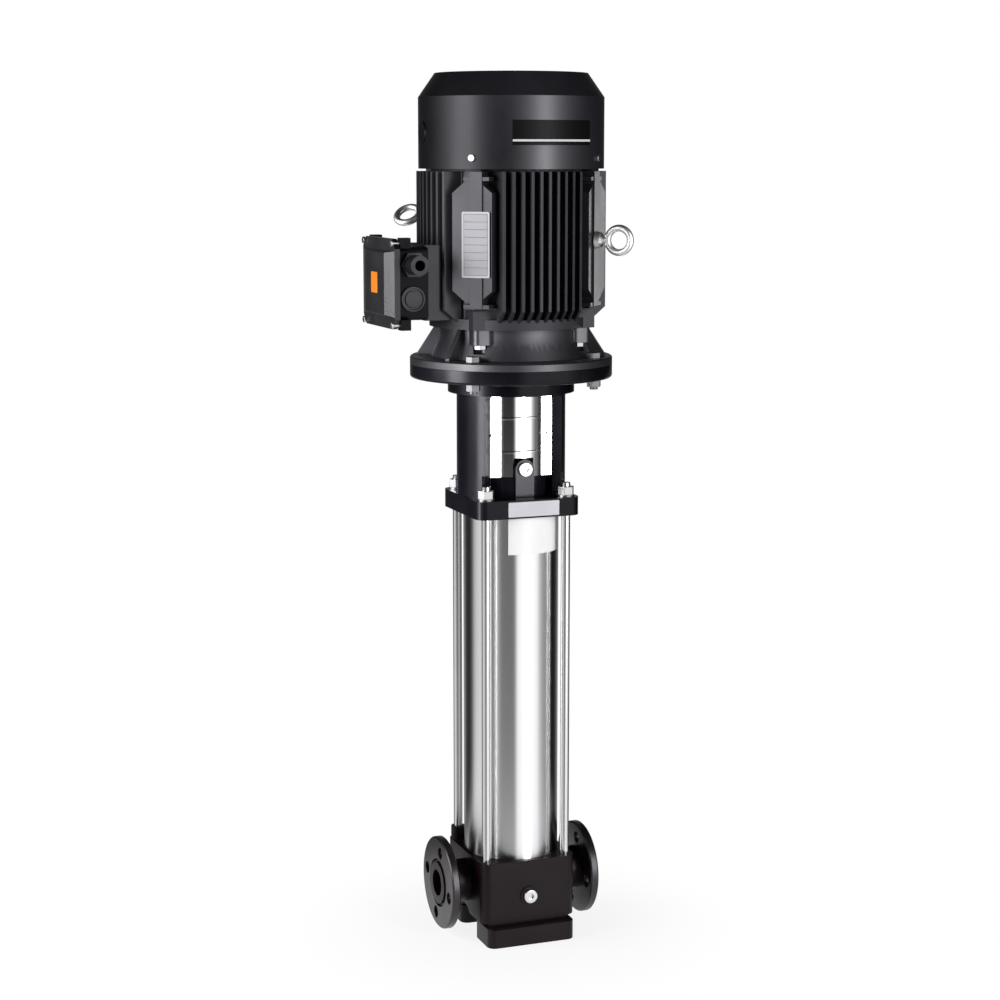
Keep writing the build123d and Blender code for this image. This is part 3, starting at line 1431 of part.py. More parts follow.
with BuildPart() as fan_cowl:
    with BuildSketch(Plane.XZ):
        with BuildLine():
            Polyline(
                (0, cowl_bottom), (cowl_radius, cowl_bottom), (cowl_radius, cowl_shoulder),
                (cowl_top_radius, cowl_top), (0, cowl_top), close=True,
            )
        make_face()
    revolve(axis=Axis.Z)
    # A round pressed boss on the side above the terminal box.
    with BuildSketch(Plane.YZ.offset(-cowl_boss_reach)):
        with Locations((0, cowl_boss_height)):
            Circle(cowl_boss_radius)
    extrude(amount=cowl_boss_reach / 2)
    with BuildSketch(Plane.XZ):
        with BuildLine():
            Polyline(
                (0, cowl_bottom), (cowl_bore, cowl_bottom), (cowl_bore, cowl_shoulder),
                (cowl_top_radius - cowl_wall / 2, cowl_top - cowl_wall), (0, cowl_top - cowl_wall),
                close=True,
            )
        make_face()
    revolve(axis=Axis.Z, mode=Mode.SUBTRACT)
    # Air inlet: rings of curved slots with bridges between them.
    with BuildSketch(Plane.XY.offset(cowl_top)):
        for ring in range(grille_rings):
            radius = grille_inner_radius + ring * grille_pitch
            slot_sweep = 360 / grille_sectors - degrees((grille_slot_width + grille_bridge) / radius)
            for sector in range(grille_sectors):
                middle = (sector + ring % 2 / 2) * 360 / grille_sectors
                centre_line = CenterArc(
                    (0, 0), radius, middle - slot_sweep / 2, slot_sweep, mode=Mode.PRIVATE
                )
                SlotArc(centre_line, grille_slot_width)
    extrude(amount=-2 * cowl_wall, mode=Mode.SUBTRACT)
    for azimuth in corner_azimuths:
        with BuildSketch(pad_plane(azimuth, cowl_radius + cowl_wall / 2)):
            with Locations((0, cowl_screw_height)):
                Circle(cowl_screw_radius + bolt_play)
        extrude(amount=-2 * cowl_wall, mode=Mode.SUBTRACT)
fan_cowl.part.label = "fan_cowl"
export_step(fan_cowl.part, "parts/fan_cowl.step")

with BuildPart() as cowl_screws:
    for azimuth in corner_azimuths:
        with BuildSketch(pad_plane(azimuth, cowl_radius)):
            with Locations((0, cowl_screw_height)):
                Circle(cowl_screw_head_radius)
        extrude(amount=cowl_screw_head_height)
        with BuildSketch(pad_plane(azimuth, cowl_radius)):
            with Locations((0, cowl_screw_height)):
                Circle(cowl_screw_radius)
        extrude(amount=-cowl_screw_length)
cowl_screws.part.label = "cowl_screws"
export_step(cowl_screws.part, "parts/cowl_screws.step")

# ================================================================ terminal box
ear_places = [(y * cover_screw_y, box_height + z * cover_screw_z) for y in (-1, 1) for z in (-1, 1)]
with BuildPart() as terminal_box:
    box_length = box_front - box_back
    with BuildSketch(Plane.YZ.offset(-box_front)):
        with Locations((0, box_height)):
            RectangleRounded(2 * box_half_width, 2 * box_half_height, box_corner)
    extrude(amount=box_length)
    # Ears at the mouth take the cover screws.
    with BuildSketch(Plane.YZ.offset(-box_front)):
        with Locations(*ear_places):
            Rectangle(box_ear, box_ear)
    extrude(amount=box_ear)
    with BuildSketch(Plane.YZ.offset(-box_front)):
        with Locations((0, box_height)):
            RectangleRounded(
                2 * (box_half_width - box_wall), 2 * (box_half_height - box_wall), box_corner - box_wall
            )
    extrude(amount=box_length - box_wall, mode=Mode.SUBTRACT)
    with BuildSketch(Plane.XZ):
        with Locations((-entry_x, gland_height)):
            Circle(gland_entry_radius + slip_fit)
        with Locations((-entry_x, blank_height)):
            Circle(blank_entry_radius + slip_fit)
    extrude(amount=2 * box_half_width, mode=Mode.SUBTRACT)
    with BuildSketch(Plane.YZ.offset(-box_front)):
        with Locations(*ear_places):
            Circle(cover_screw_radius + slip_fit)
    extrude(amount=box_ear, mode=Mode.SUBTRACT)
terminal_box.part.label = "terminal_box"
export_step(terminal_box.part, "parts/terminal_box.step")

with BuildPart() as cover_gasket:
    with BuildSketch(Plane.YZ.offset(-box_front)):
        with Locations((0, box_height)):
            RectangleRounded(2 * box_half_width, 2 * box_half_height, box_corner)
            RectangleRounded(
                2 * (box_half_width - box_wall), 2 * (box_half_height - box_wall),
                box_corner - box_wall, mode=Mode.SUBTRACT,
            )
    extrude(amount=-gasket_thickness)
cover_gasket.part.label = "cover_gasket"
export_step(cover_gasket.part, "parts/cover_gasket.step")

with BuildPart() as terminal_cover:
    cover_back = box_front + gasket_thickness
    with BuildSketch(Plane.YZ.offset(-cover_back)) as cover_outline:
        with Locations((0, box_height)):
            Rectangle(2 * cover_half_width, 2 * cover_half_height)
        chamfer(cover_outline.vertices(), cover_cut)
    extrude(amount=-cover_slab)
    # The middle rises to a flat face with broad bevels at its front and back edges.
    with BuildSketch(Plane.YZ.offset(-cover_back - cover_slab)):
        with Locations((0, box_height)):
            Rectangle(2 * cover_raise_half_width, 2 * cover_raise_half_height)
    with BuildSketch(Plane.YZ.offset(-cover_back - cover_slab - cover_rise)):
        with Locations((0, box_height)):
            Rectangle(2 * cover_face_half_width, 2 * cover_face_half_height)
    loft()
    with BuildSketch(Plane.YZ.offset(-cover_back)):
        with Locations(*ear_places):
            Circle(cover_screw_radius + bolt_play)
    extrude(amount=-cover_slab, mode=Mode.SUBTRACT)
terminal_cover.part.label = "terminal_cover"
export_step(terminal_cover.part, "parts/terminal_cover.step")

with BuildPart() as cover_screws:
    with BuildSketch(Plane.YZ.offset(-cover_back - cover_slab)):
        with Locations(*ear_places):
            Circle(cover_screw_head_radius)
    extrude(amount=-cover_screw_head_height)
    with BuildSketch(Plane.YZ.offset(-cover_back - cover_slab)):
        with Locations(*ear_places):
            Circle(cover_screw_radius)
    extrude(amount=cover_screw_length)
cover_screws.part.label = "cover_screws"
export_step(cover_screws.part, "parts/cover_screws.step")

with BuildPart() as terminal_board:
    board_back = box_back + box_wall
    with BuildSketch(Plane.YZ.offset(-board_back)):
        with Locations((0, box_height)):
            Rectangle(board_width, board_height)
    extrude(amount=-board_thickness)
terminal_board.part.label = "terminal_board"
export_step(terminal_board.part, "parts/terminal_board.step")

with BuildPart() as terminal_studs:
    with BuildSketch(Plane.YZ.offset(-board_back - board_thickness)):
        with Locations((0, box_height)):
            with GridLocations(stud_pitch_y, stud_pitch_z, 3, 2):
                RegularPolygon(stud_nut_radius, 6)
    extrude(amount=-stud_nut_height)
    with BuildSketch(Plane.YZ.offset(-board_back - board_thickness)):
        with Locations((0, box_height)):
            with GridLocations(stud_pitch_y, stud_pitch_z, 3, 2):
                Circle(stud_radius)
    extrude(amount=-stud_length)
terminal_studs.part.label = "terminal_studs"
export_step(terminal_studs.part, "parts/terminal_studs.step")

with BuildPart() as cable_gland:
    with BuildSketch(Plane.XZ.offset(box_half_width)):
        with Locations((-entry_x, gland_height)):
            RegularPolygon(gland_nut_flats / 2, 6, major_radius=False)
    extrude(amount=gland_nut_height)
    with BuildSketch(Plane.XZ.offset(box_half_width)):
        with Locations((-entry_x, gland_height)):
            Circle(gland_neck_radius)
    extrude(amount=gland_reach - box_half_width)
    with BuildSketch(Plane.XZ.offset(box_half_width)):
        with Locations((-entry_x, gland_height)):
            Circle(gland_entry_radius)
    extrude(amount=-box_wall - gland_inner_length)
    with BuildSketch(Plane.XZ.offset(box_half_width - box_wall - gland_inner_length)):
        with Locations((-entry_x, gland_height)):
            Circle(gland_bore_radius)
    extrude(amount=gland_reach, mode=Mode.SUBTRACT)
cable_gland.part.label = "cable_gland"
export_step(cable_gland.part, "parts/cable_gland.step")

with BuildPart() as blanking_plug:
    with BuildSketch(Plane.XZ.offset(box_half_width)):
        with Locations((-entry_x, blank_height)):
            Circle(blank_head_radius)
    extrude(amount=blank_head_height)
    with BuildSketch(Plane.XZ.offset(box_half_width + blank_head_height)):
        with Locations((-entry_x, blank_height)):
            Circle(blank_head_radius - blank_rim)
            Circle(blank_head_radius - 2 * blank_rim, mode=Mode.SUBTRACT)
    extrude(amount=-blank_head_height / 2, mode=Mode.SUBTRACT)
    with BuildSketch(Plane.XZ.offset(box_half_width)):
        with Locations((-entry_x, blank_height)):
            Circle(blank_entry_radius)
    extrude(amount=-box_wall - blank_inner_length)
blanking_plug.part.label = "blanking_plug"
export_step(blanking_plug.part, "parts/blanking_plug.step")
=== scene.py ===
# %% [markdown]
# # A vertical multistage pump
#
# The pump stands on a black cast foot with a pipe flange on each side. A polished sleeve between four tie
# rods holds the stages, an open stool carries a finned electric motor, and a fan cowl closes the top. The
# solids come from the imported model, in metres, with +Z up. This script gives them their finish and adds the
# thin plates.

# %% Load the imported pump
import bmesh
import bpy
import json
from math import atan, cos, pi, radians, sin
from mathutils import Matrix, Vector

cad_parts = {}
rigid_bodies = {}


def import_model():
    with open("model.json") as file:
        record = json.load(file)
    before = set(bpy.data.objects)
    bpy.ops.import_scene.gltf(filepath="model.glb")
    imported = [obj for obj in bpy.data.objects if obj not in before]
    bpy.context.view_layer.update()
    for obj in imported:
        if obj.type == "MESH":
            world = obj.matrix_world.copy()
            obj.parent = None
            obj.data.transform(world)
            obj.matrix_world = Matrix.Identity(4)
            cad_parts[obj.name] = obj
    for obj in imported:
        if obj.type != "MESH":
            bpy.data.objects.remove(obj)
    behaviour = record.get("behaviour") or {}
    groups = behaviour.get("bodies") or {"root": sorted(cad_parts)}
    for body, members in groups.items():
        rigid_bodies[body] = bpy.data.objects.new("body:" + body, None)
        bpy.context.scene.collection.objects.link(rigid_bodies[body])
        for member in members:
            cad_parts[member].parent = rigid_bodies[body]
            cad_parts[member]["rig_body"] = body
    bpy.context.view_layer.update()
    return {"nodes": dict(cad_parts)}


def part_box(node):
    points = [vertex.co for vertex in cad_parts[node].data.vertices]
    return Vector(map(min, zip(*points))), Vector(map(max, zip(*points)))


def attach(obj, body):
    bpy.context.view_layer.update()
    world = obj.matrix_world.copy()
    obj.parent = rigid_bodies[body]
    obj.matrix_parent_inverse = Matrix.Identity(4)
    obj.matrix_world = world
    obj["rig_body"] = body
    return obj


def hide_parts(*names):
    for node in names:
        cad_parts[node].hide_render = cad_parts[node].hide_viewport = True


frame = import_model()

# %% [markdown]
# The camera comes first, because every choice of finish is judged through it. It stands a little to the
# left of the front, nearly at the height of the motor, and looks down by a few degrees. A long lens at some
# metres keeps the upright edges nearly parallel.

# %% Place the camera
camera_side = radians(21)
camera_height = 1.180
camera_distance = 3.259
camera_tilt = radians(9)
pixels_across = 1000
focal_pixels = 2200
axis_offset_pixels = 11

camera_data = bpy.data.cameras.new("studio_camera")
camera_data.sensor_width = 36
camera_data.lens = camera_data.sensor_width * focal_pixels / pixels_across
camera = bpy.data.objects.new("studio_camera", camera_data)
bpy.context.scene.collection.objects.link(camera)
camera.location = (-camera_distance * sin(camera_side), -camera_distance * cos(camera_side), camera_height)
camera_turn = -camera_side + atan(axis_offset_pixels / focal_pixels)
camera.rotation_euler = (pi / 2 - camera_tilt, 0, camera_turn)
bpy.context.scene.camera = camera
print("camera lens", round(camera_data.lens, 1), "mm")

# %% [markdown]
# Polished steel has hardly any colour of its own: it shows the room. A photographer therefore builds the
# room out of white and black panels. Here the world plays that part. A colour ramp runs once round the
# horizon, so that each direction has its own brightness, and a second ramp darkens the sky overhead. The
# sleeve is seen from above, so it mirrors the low part of the room, while the guard and the motor mirror
# the level part. A gamma node gives the level part more contrast. The camera itself sees plain white.

# %% Build the studio's white and black panels
horizon_panels = [
    (-180, 0.70), (-158, 0.50), (-140, 0.04), (-117, 0.07), (-108, 0.34), (-100, 0.74), (-93, 0.84),
    (-80, 0.90), (-60, 0.84), (-48, 0.84), (-42, 0.52), (-37, 0.95), (-24, 0.31), (8, 0.28), (17, 1.10),
    (66, 1.10), (76, 0.78), (88, 0.52), (95, 0.56), (102, 0.20), (110, 0.02), (138, 0.02), (152, 0.24),
    (165, 0.60), (180, 0.70),
]
sky_bands = [(-90, 0.8), (-30, 1.0), (20, 1.0), (40, 0.32), (90, 0.25)]
contrast_low, contrast_high = -11, -8
level_contrast = 3.2


def fill_ramp(ramp_node, stops, lowest, highest):
    """Set a colour ramp's grey stops; each stop is an angle and a brightness."""
    ramp = ramp_node.color_ramp
    while len(ramp.elements) > 1:
        ramp.elements.remove(ramp.elements[-1])
    for index, (angle, level) in enumerate(stops):
        place = (angle - lowest) / (highest - lowest)
        element = ramp.elements[0] if index == 0 else ramp.elements.new(place)
        element.position = place
        element.color = (level, level, level, 1)


world = bpy.data.worlds.new("studio")
bpy.context.scene.world = world
world.use_nodes = True
nodes, links = world.node_tree.nodes, world.node_tree.links
nodes.clear()
direction = nodes.new("ShaderNodeTexCoord")
turn = nodes.new("ShaderNodeMapping")
turn.vector_type = "POINT"
turn.inputs["Rotation"].default_value = (0, 0, pi / 2 + camera_side)
links.new(direction.outputs["Generated"], turn.inputs["Vector"])
split = nodes.new("ShaderNodeSeparateXYZ")
links.new(turn.outputs["Vector"], split.inputs["Vector"])
angle = nodes.new("ShaderNodeMath")
angle.operation = "ARCTAN2"
links.new(split.outputs["Y"], angle.inputs[0])
links.new(split.outputs["X"], angle.inputs[1])
round_place = nodes.new("ShaderNodeMapRange")
round_place.inputs["From Min"].default_value = -pi
round_place.inputs["From Max"].default_value = pi
links.new(angle.outputs["Value"], round_place.inputs["Value"])
panels = nodes.new("ShaderNodeValToRGB")
fill_ramp(panels, horizon_panels, -180, 180)
links.new(round_place.outputs["Result"], panels.inputs["Fac"])
rise = nodes.new("ShaderNodeMath")
rise.operation = "ARCSINE"
links.new(split.outputs["Z"], rise.inputs[0])
rise_place = nodes.new("ShaderNodeMapRange")
rise_place.inputs["From Min"].default_value = -pi / 2
rise_place.inputs["From Max"].default_value = pi / 2
links.new(rise.outputs["Value"], rise_place.inputs["Value"])
overhead = nodes.new("ShaderNodeValToRGB")
fill_ramp(overhead, sky_bands, -90, 90)
links.new(rise_place.outputs["Result"], overhead.inputs["Fac"])
room = nodes.new("ShaderNodeMix")
room.data_type = "RGBA"
room.blend_type = "MULTIPLY"
room.inputs["Factor"].default_value = 1
links.new(panels.outputs["Color"], room.inputs["A"])
links.new(overhead.outputs["Color"], room.inputs["B"])
contrast = nodes.new("ShaderNodeMapRange")
contrast.interpolation_type = "SMOOTHSTEP"
contrast.inputs["From Min"].default_value = radians(contrast_low)
contrast.inputs["From Max"].default_value = radians(contrast_high)
contrast.inputs["To Min"].default_value = 1
contrast.inputs["To Max"].default_value = level_contrast
links.new(rise.outputs["Value"], contrast.inputs["Value"])
deepened = nodes.new("ShaderNodeGamma")
links.new(room.outputs["Result"], deepened.inputs["Color"])
links.new(contrast.outputs["Result"], deepened.inputs["Gamma"])
white = nodes.new("ShaderNodeRGB")
white.outputs[0].default_value = (1, 1, 1, 1)
rays = nodes.new("ShaderNodeLightPath")
seen = nodes.new("ShaderNodeMix")
seen.data_type = "RGBA"
links.new(rays.outputs["Is Camera Ray"], seen.inputs["Factor"])
links.new(deepened.outputs["Color"], seen.inputs["A"])
links.new(white.outputs["Color"], seen.inputs["B"])
background = nodes.new("ShaderNodeBackground")
links.new(seen.outputs["Result"], background.inputs["Color"])
world_output = nodes.new("ShaderNodeOutputWorld")
links.new(background.outputs["Background"], world_output.inputs["Surface"])
bpy.context.scene.view_settings.view_transform = "Standard"
print("studio with", len(horizon_panels), "stops round the horizon")

# %% [markdown]
# Large soft lamps shape the dark paint, which shows little of the room. Area lamps are used because their
# size sets how soft the highlight is. The two main ones, right_fill and left_key, draw the bright stripes
# down the motor. Five more are for the cowl, the motor's flat pads, the box's cover and the stool's rim.
# Which pieces each lamp lights is settled further down, once the pieces exist.

# %% Hang the soft lamps
def soft_lamp(name, azimuth, elevation, distance, width, height, power, target=(0, 0, 0.8)):
    """Hang an area lamp that faces the target; azimuth 0 is the front, and it grows to the right."""
    turn_angle, lift = radians(azimuth), radians(elevation)
    away = Vector((sin(turn_angle) * cos(lift), -cos(turn_angle) * cos(lift), sin(lift)))
    data = bpy.data.lights.new(name, "AREA")
    data.shape = "RECTANGLE"
    data.size = width
    data.size_y = height
    data.energy = power
    lamp = bpy.data.objects.new(name, data)
    bpy.context.scene.collection.objects.link(lamp)
    lamp.location = Vector(target) + away * distance
    lamp.rotation_euler = away.to_track_quat("Z", "Y").to_euler()
    return lamp


right_fill = soft_lamp("right_fill", 20, 6, 3.2, 0.7, 2.2, 62)
left_key = soft_lamp("left_key", -92, 14, 3.2, 2.4, 1.8, 104)
cowl_key = soft_lamp("cowl_key", -80, 14, 3.2, 1.6, 1.8, 44)
left_pads = soft_lamp("left_pads", -68, 3, 3.0, 0.8, 1.6, 100, target=(0, 0, 1))
right_pads = soft_lamp("right_pads", 111, -2, 3.0, 0.8, 1.6, 40, target=(0, 0, 1))
cover_edge = soft_lamp("cover_edge", -119, 3, 3.0, 0.8, 1.6, 52, target=(0, 0, 1))
stool_rim = soft_lamp("stool_rim", -84, -6, 3.0, 1.0, 1.2, 46, target=(0, 0, 0.85))

# %% [markdown]
# The floor is a pale disc. Near the foot it is an ordinary matt surface, so it keeps the pump's shadow.
# Further out the camera, mirrors and glass see it fade to the same white as the background, so no horizon
# shows.

# %% Lay the floor
floor_radius = 0.42
shadow_radius = 0.38
foot_radius = 0.05
floor_shade = 0.94
least_glow = 0.85
floor_mesh = bpy.data.meshes.new("floor")
shape = bmesh.new()
bmesh.ops.create_circle(shape, cap_ends=True, segments=96, radius=floor_radius)
shape.to_mesh(floor_mesh)
shape.free()
floor = bpy.data.objects.new("floor", floor_mesh)
bpy.context.scene.collection.objects.link(floor)
floor.location = (0, 0, -0.0005)

floor_paper = bpy.data.materials.new("floor_paper")
floor_paper.use_nodes = True
nodes, links = floor_paper.node_tree.nodes, floor_paper.node_tree.links
nodes.clear()
matt = nodes.new("ShaderNodeBsdfDiffuse")
matt.inputs["Color"].default_value = (floor_shade, floor_shade, floor_shade, 1)
glow = nodes.new("ShaderNodeEmission")
glow.inputs["Color"].default_value = (1, 1, 1, 1)
place = nodes.new("ShaderNodeTexCoord")
reach = nodes.new("ShaderNodeVectorMath")
reach.operation = "LENGTH"
links.new(place.outputs["Object"], reach.inputs[0])
fade = nodes.new("ShaderNodeMapRange")
fade.interpolation_type = "SMOOTHSTEP"
fade.inputs["From Min"].default_value = foot_radius
fade.inputs["From Max"].default_value = shadow_radius
fade.inputs["To Min"].default_value = least_glow
links.new(reach.outputs["Value"], fade.inputs["Value"])
rays = nodes.new("ShaderNodeLightPath")
seen = nodes.new("ShaderNodeMath")
seen.operation = "MAXIMUM"
links.new(rays.outputs["Is Camera Ray"], seen.inputs[0])
links.new(rays.outputs["Is Glossy Ray"], seen.inputs[1])
seen_too = nodes.new("ShaderNodeMath")
seen_too.operation = "MAXIMUM"
links.new(seen.outputs["Value"], seen_too.inputs[0])
links.new(rays.outputs["Is Transmission Ray"], seen_too.inputs[1])
share = nodes.new("ShaderNodeMath")
share.operation = "MULTIPLY"
links.new(fade.outputs["Result"], share.inputs[0])
links.new(seen_too.outputs["Value"], share.inputs[1])
blend = nodes.new("ShaderNodeMixShader")
links.new(share.outputs["Value"], blend.inputs["Fac"])
links.new(matt.outputs["BSDF"], blend.inputs[1])
links.new(glow.outputs["Emission"], blend.inputs[2])
floor_output = nodes.new("ShaderNodeOutputMaterial")
links.new(blend.outputs["Shader"], floor_output.inputs["Surface"])
floor_mesh.materials.append(floor_paper)
print("floor of", 2 * floor_radius, "m")

# %% [markdown]
# Cast iron, die-cast aluminium and sheet steel all carry the same kind of paint here, yet they look
# different, because the paint follows what is below it. One node group gives that grain: a fine height for
# the bump, and a slow cloudy mask that shifts the colour and the gloss from place to place. Each finish
# uses it with its own scale.

# %% A node group for grain under paint
def new_group(name, inputs, outputs):
    """Start a shader node group with float or colour sockets, and return it with its two end nodes."""
    group = bpy.data.node_groups.new(name, "ShaderNodeTree")
    for label, kind, value in inputs:
        socket = group.interface.new_socket(name=label, in_out="INPUT", socket_type=kind)
        socket.default_value = value
    for label, kind in outputs:
        group.interface.new_socket(name=label, in_out="OUTPUT", socket_type=kind)
    return group, group.nodes.new("NodeGroupInput"), group.nodes.new("NodeGroupOutput")


grain, grain_in, grain_out = new_group(
    "cast_grain",
    [("Grain Scale", "NodeSocketFloat", 900.0), ("Cloud Scale", "NodeSocketFloat", 14.0)],
    [("Height", "NodeSocketFloat"), ("Cloud", "NodeSocketFloat")],
)
place = grain.nodes.new("ShaderNodeTexCoord")
fine = grain.nodes.new("ShaderNodeTexNoise")
fine.inputs["Detail"].default_value = 3
fine.inputs["Roughness"].default_value = 0.6
grain.links.new(place.outputs["Object"], fine.inputs["Vector"])
grain.links.new(grain_in.outputs["Grain Scale"], fine.inputs["Scale"])
cloud = grain.nodes.new("ShaderNodeTexNoise")
cloud.inputs["Detail"].default_value = 4
cloud.inputs["Roughness"].default_value = 0.55
grain.links.new(place.outputs["Object"], cloud.inputs["Vector"])
grain.links.new(grain_in.outputs["Cloud Scale"], cloud.inputs["Scale"])
spread = grain.nodes.new("ShaderNodeMapRange")
spread.inputs["From Min"].default_value = 0.3
spread.inputs["From Max"].default_value = 0.7
grain.links.new(cloud.outputs["Fac"], spread.inputs["Value"])
grain.links.new(fine.outputs["Fac"], grain_out.inputs["Height"])
grain.links.new(spread.outputs["Result"], grain_out.inputs["Cloud"])
print("group", grain.name)


# %% Painted castings and painted sheet
def start_material(name):
    """Make an empty node material and return it with its tree and its Principled shader."""
    material = bpy.data.materials.new(name)
    material.use_nodes = True
    tree = material.node_tree
    return material, tree, tree.nodes["Principled BSDF"]


def place_group(tree, group, **values):
    """Put a group in a material and set its inputs; an underscore in a name stands for a blank."""
    node = tree.nodes.new("ShaderNodeGroup")
    node.node_tree = group
    for label, value in values.items():
        node.inputs[label.replace("_", " ")].default_value = value
    return node


def mix_colours(tree, mask, first, second):
    """Blend two colours by a mask and return the output socket."""
    mix = tree.nodes.new("ShaderNodeMix")
    mix.data_type = "RGBA"
    mix.inputs["A"].default_value = (*first, 1)
    mix.inputs["B"].default_value = (*second, 1)
    tree.links.new(mask, mix.inputs["Factor"])
    return mix.outputs["Result"]


def between(tree, mask, low, high):
    """Turn a mask into a value from low to high and return the output socket."""
    change = tree.nodes.new("ShaderNodeMapRange")
    change.inputs["To Min"].default_value = low
    change.inputs["To Max"].default_value = high
    tree.links.new(mask, change.inputs["Value"])
    return change.outputs["Result"]


def add_bump(tree, shader, height, strength, depth):
    """Drive the shader's normal with a height."""
    bump = tree.nodes.new("ShaderNodeBump")
    bump.inputs["Strength"].default_value = strength
    bump.inputs["Distance"].default_value = depth
    tree.links.new(height, bump.inputs["Height"])
    tree.links.new(bump.outputs["Normal"], shader.inputs["Normal"])


def paint(name, dark, light, gloss, grain_scale, grain_depth, shine=0.4):
    """Paint or moulding: two close colours, a range of roughness, the grain, and how much it shines."""
    material, tree, shader = start_material(name)
    group = place_group(tree, grain, Grain_Scale=grain_scale, Cloud_Scale=14.0)
    tree.links.new(mix_colours(tree, group.outputs["Cloud"], dark, light), shader.inputs["Base Color"])
    tree.links.new(between(tree, group.outputs["Cloud"], *gloss), shader.inputs["Roughness"])
    shader.inputs["Specular IOR Level"].default_value = shine
    shader.inputs["Specular Tint"].default_value = (0.94, 0.93, 1.0, 1)
    add_bump(tree, shader, group.outputs["Height"], 0.5, grain_depth)
    return material


# Darker colour, lighter colour, roughness, grain scale, grain depth, shine.
painted = {
    "base_paint": ((0.0052, 0.0018, 0.0023), (0.0085, 0.0034, 0.0040), (0.36, 0.46), 420, 0.00025, 0.20),
    # The flanges are the base's own iron; this copy of its paint is lighter, so its colour carries painted
    # light on them.
    "flange_lit_paint": ((0.0070, 0.0045, 0.0048), (0.0100, 0.0070, 0.0072), (0.30, 0.40), 420, 0.00020, 0.56),
    "stool_paint": ((0.0045, 0.0045, 0.0075), (0.0065, 0.0065, 0.0100), (0.20, 0.28), 500, 0.00010, 0.22),
    "shield_paint": ((0.0065, 0.0065, 0.0085), (0.0100, 0.0100, 0.0130), (0.38, 0.46), 700, 0.00008, 0.75),
    "motor_paint": ((0.0065, 0.0065, 0.0085), (0.0100, 0.0100, 0.0130), (0.50, 0.58), 700, 0.00008, 0.40),
    "cowl_paint": ((0.0085, 0.0085, 0.0112), (0.0118, 0.0118, 0.0150), (0.36, 0.42), 900, 0.00003, 0.58),
    "box_paint": ((0.0070, 0.0070, 0.0090), (0.0105, 0.0105, 0.0130), (0.40, 0.48), 800, 0.00006, 0.16),
    "cover_paint": ((0.0080, 0.0080, 0.0100), (0.0120, 0.0120, 0.0145), (0.26, 0.32), 800, 0.00004, 0.70),
    "moulded_plastic": ((0.008, 0.008, 0.009), (0.012, 0.012, 0.013), (0.35, 0.5), 900, 0.00005, 0.22),
    "strip_black": ((0.0015, 0.0015, 0.0015), (0.0030, 0.0030, 0.0030), (0.40, 0.50), 900, 0.00001, 0.10),
}
finish = {name: paint(name, *recipe) for name, recipe in painted.items()}
print(len(finish), "painted and moulded finishes")

# %% [markdown]
# Bare metal needs another group. Rolled tube and drawn bar carry very fine lines along their length, and
# turned pieces carry them round and round. Both are noise that is stretched in one direction, so the group
# takes a stretch for each axis. Its height is tiny, because the sleeve is polished almost to a mirror.

# %% A node group for drawn and turned lines
drawn, drawn_in, drawn_out = new_group(
    "drawn_lines",
    [
        ("Across", "NodeSocketFloat", 1500.0), ("Along", "NodeSocketFloat", 12.0),
        ("Stain Scale", "NodeSocketFloat", 9.0),
    ],
    [("Lines", "NodeSocketFloat"), ("Stain", "NodeSocketFloat")],
)
place = drawn.nodes.new("ShaderNodeTexCoord")
stretch = drawn.nodes.new("ShaderNodeCombineXYZ")
drawn.links.new(drawn_in.outputs["Across"], stretch.inputs["X"])
drawn.links.new(drawn_in.outputs["Across"], stretch.inputs["Y"])
drawn.links.new(drawn_in.outputs["Along"], stretch.inputs["Z"])
stretched = drawn.nodes.new("ShaderNodeVectorMath")
stretched.operation = "MULTIPLY"
drawn.links.new(place.outputs["Object"], stretched.inputs[0])
drawn.links.new(stretch.outputs["Vector"], stretched.inputs[1])
hairs = drawn.nodes.new("ShaderNodeTexNoise")
hairs.inputs["Scale"].default_value = 1
hairs.inputs["Detail"].default_value = 2
drawn.links.new(stretched.outputs["Vector"], hairs.inputs["Vector"])
stain = drawn.nodes.new("ShaderNodeTexNoise")
stain.inputs["Detail"].default_value = 3
drawn.links.new(place.outputs["Object"], stain.inputs["Vector"])
drawn.links.new(drawn_in.outputs["Stain Scale"], stain.inputs["Scale"])
drawn.links.new(hairs.outputs["Fac"], drawn_out.inputs["Lines"])
drawn.links.new(stain.outputs["Fac"], drawn_out.inputs["Stain"])
print("group", drawn.name)


# %% Polished, drawn, plated and turned metals
def bare_metal(name, dark, light, gloss, across, along, depth, brushed=0.0):
    """A metal with stretched lines: two close colours, a range of roughness and the depth of the lines."""
    material, tree, shader = start_material(name)
    group = place_group(tree, drawn, Across=across, Along=along, Stain_Scale=9.0)
    shader.inputs["Metallic"].default_value = 1
    tree.links.new(mix_colours(tree, group.outputs["Stain"], dark, light), shader.inputs["Base Color"])
    tree.links.new(between(tree, group.outputs["Lines"], *gloss), shader.inputs["Roughness"])
    add_bump(tree, shader, group.outputs["Lines"], 0.4, depth)
    if brushed:
        # Lines round the axis draw each reflection out into an upright band.
        around = tree.nodes.new("ShaderNodeTangent")
        around.direction_type = "RADIAL"
        around.axis = "Z"
        tree.links.new(around.outputs["Tangent"], shader.inputs["Tangent"])
        shader.inputs["Anisotropic"].default_value = brushed
        shader.inputs["Anisotropic Rotation"].default_value = 0.25
    return material


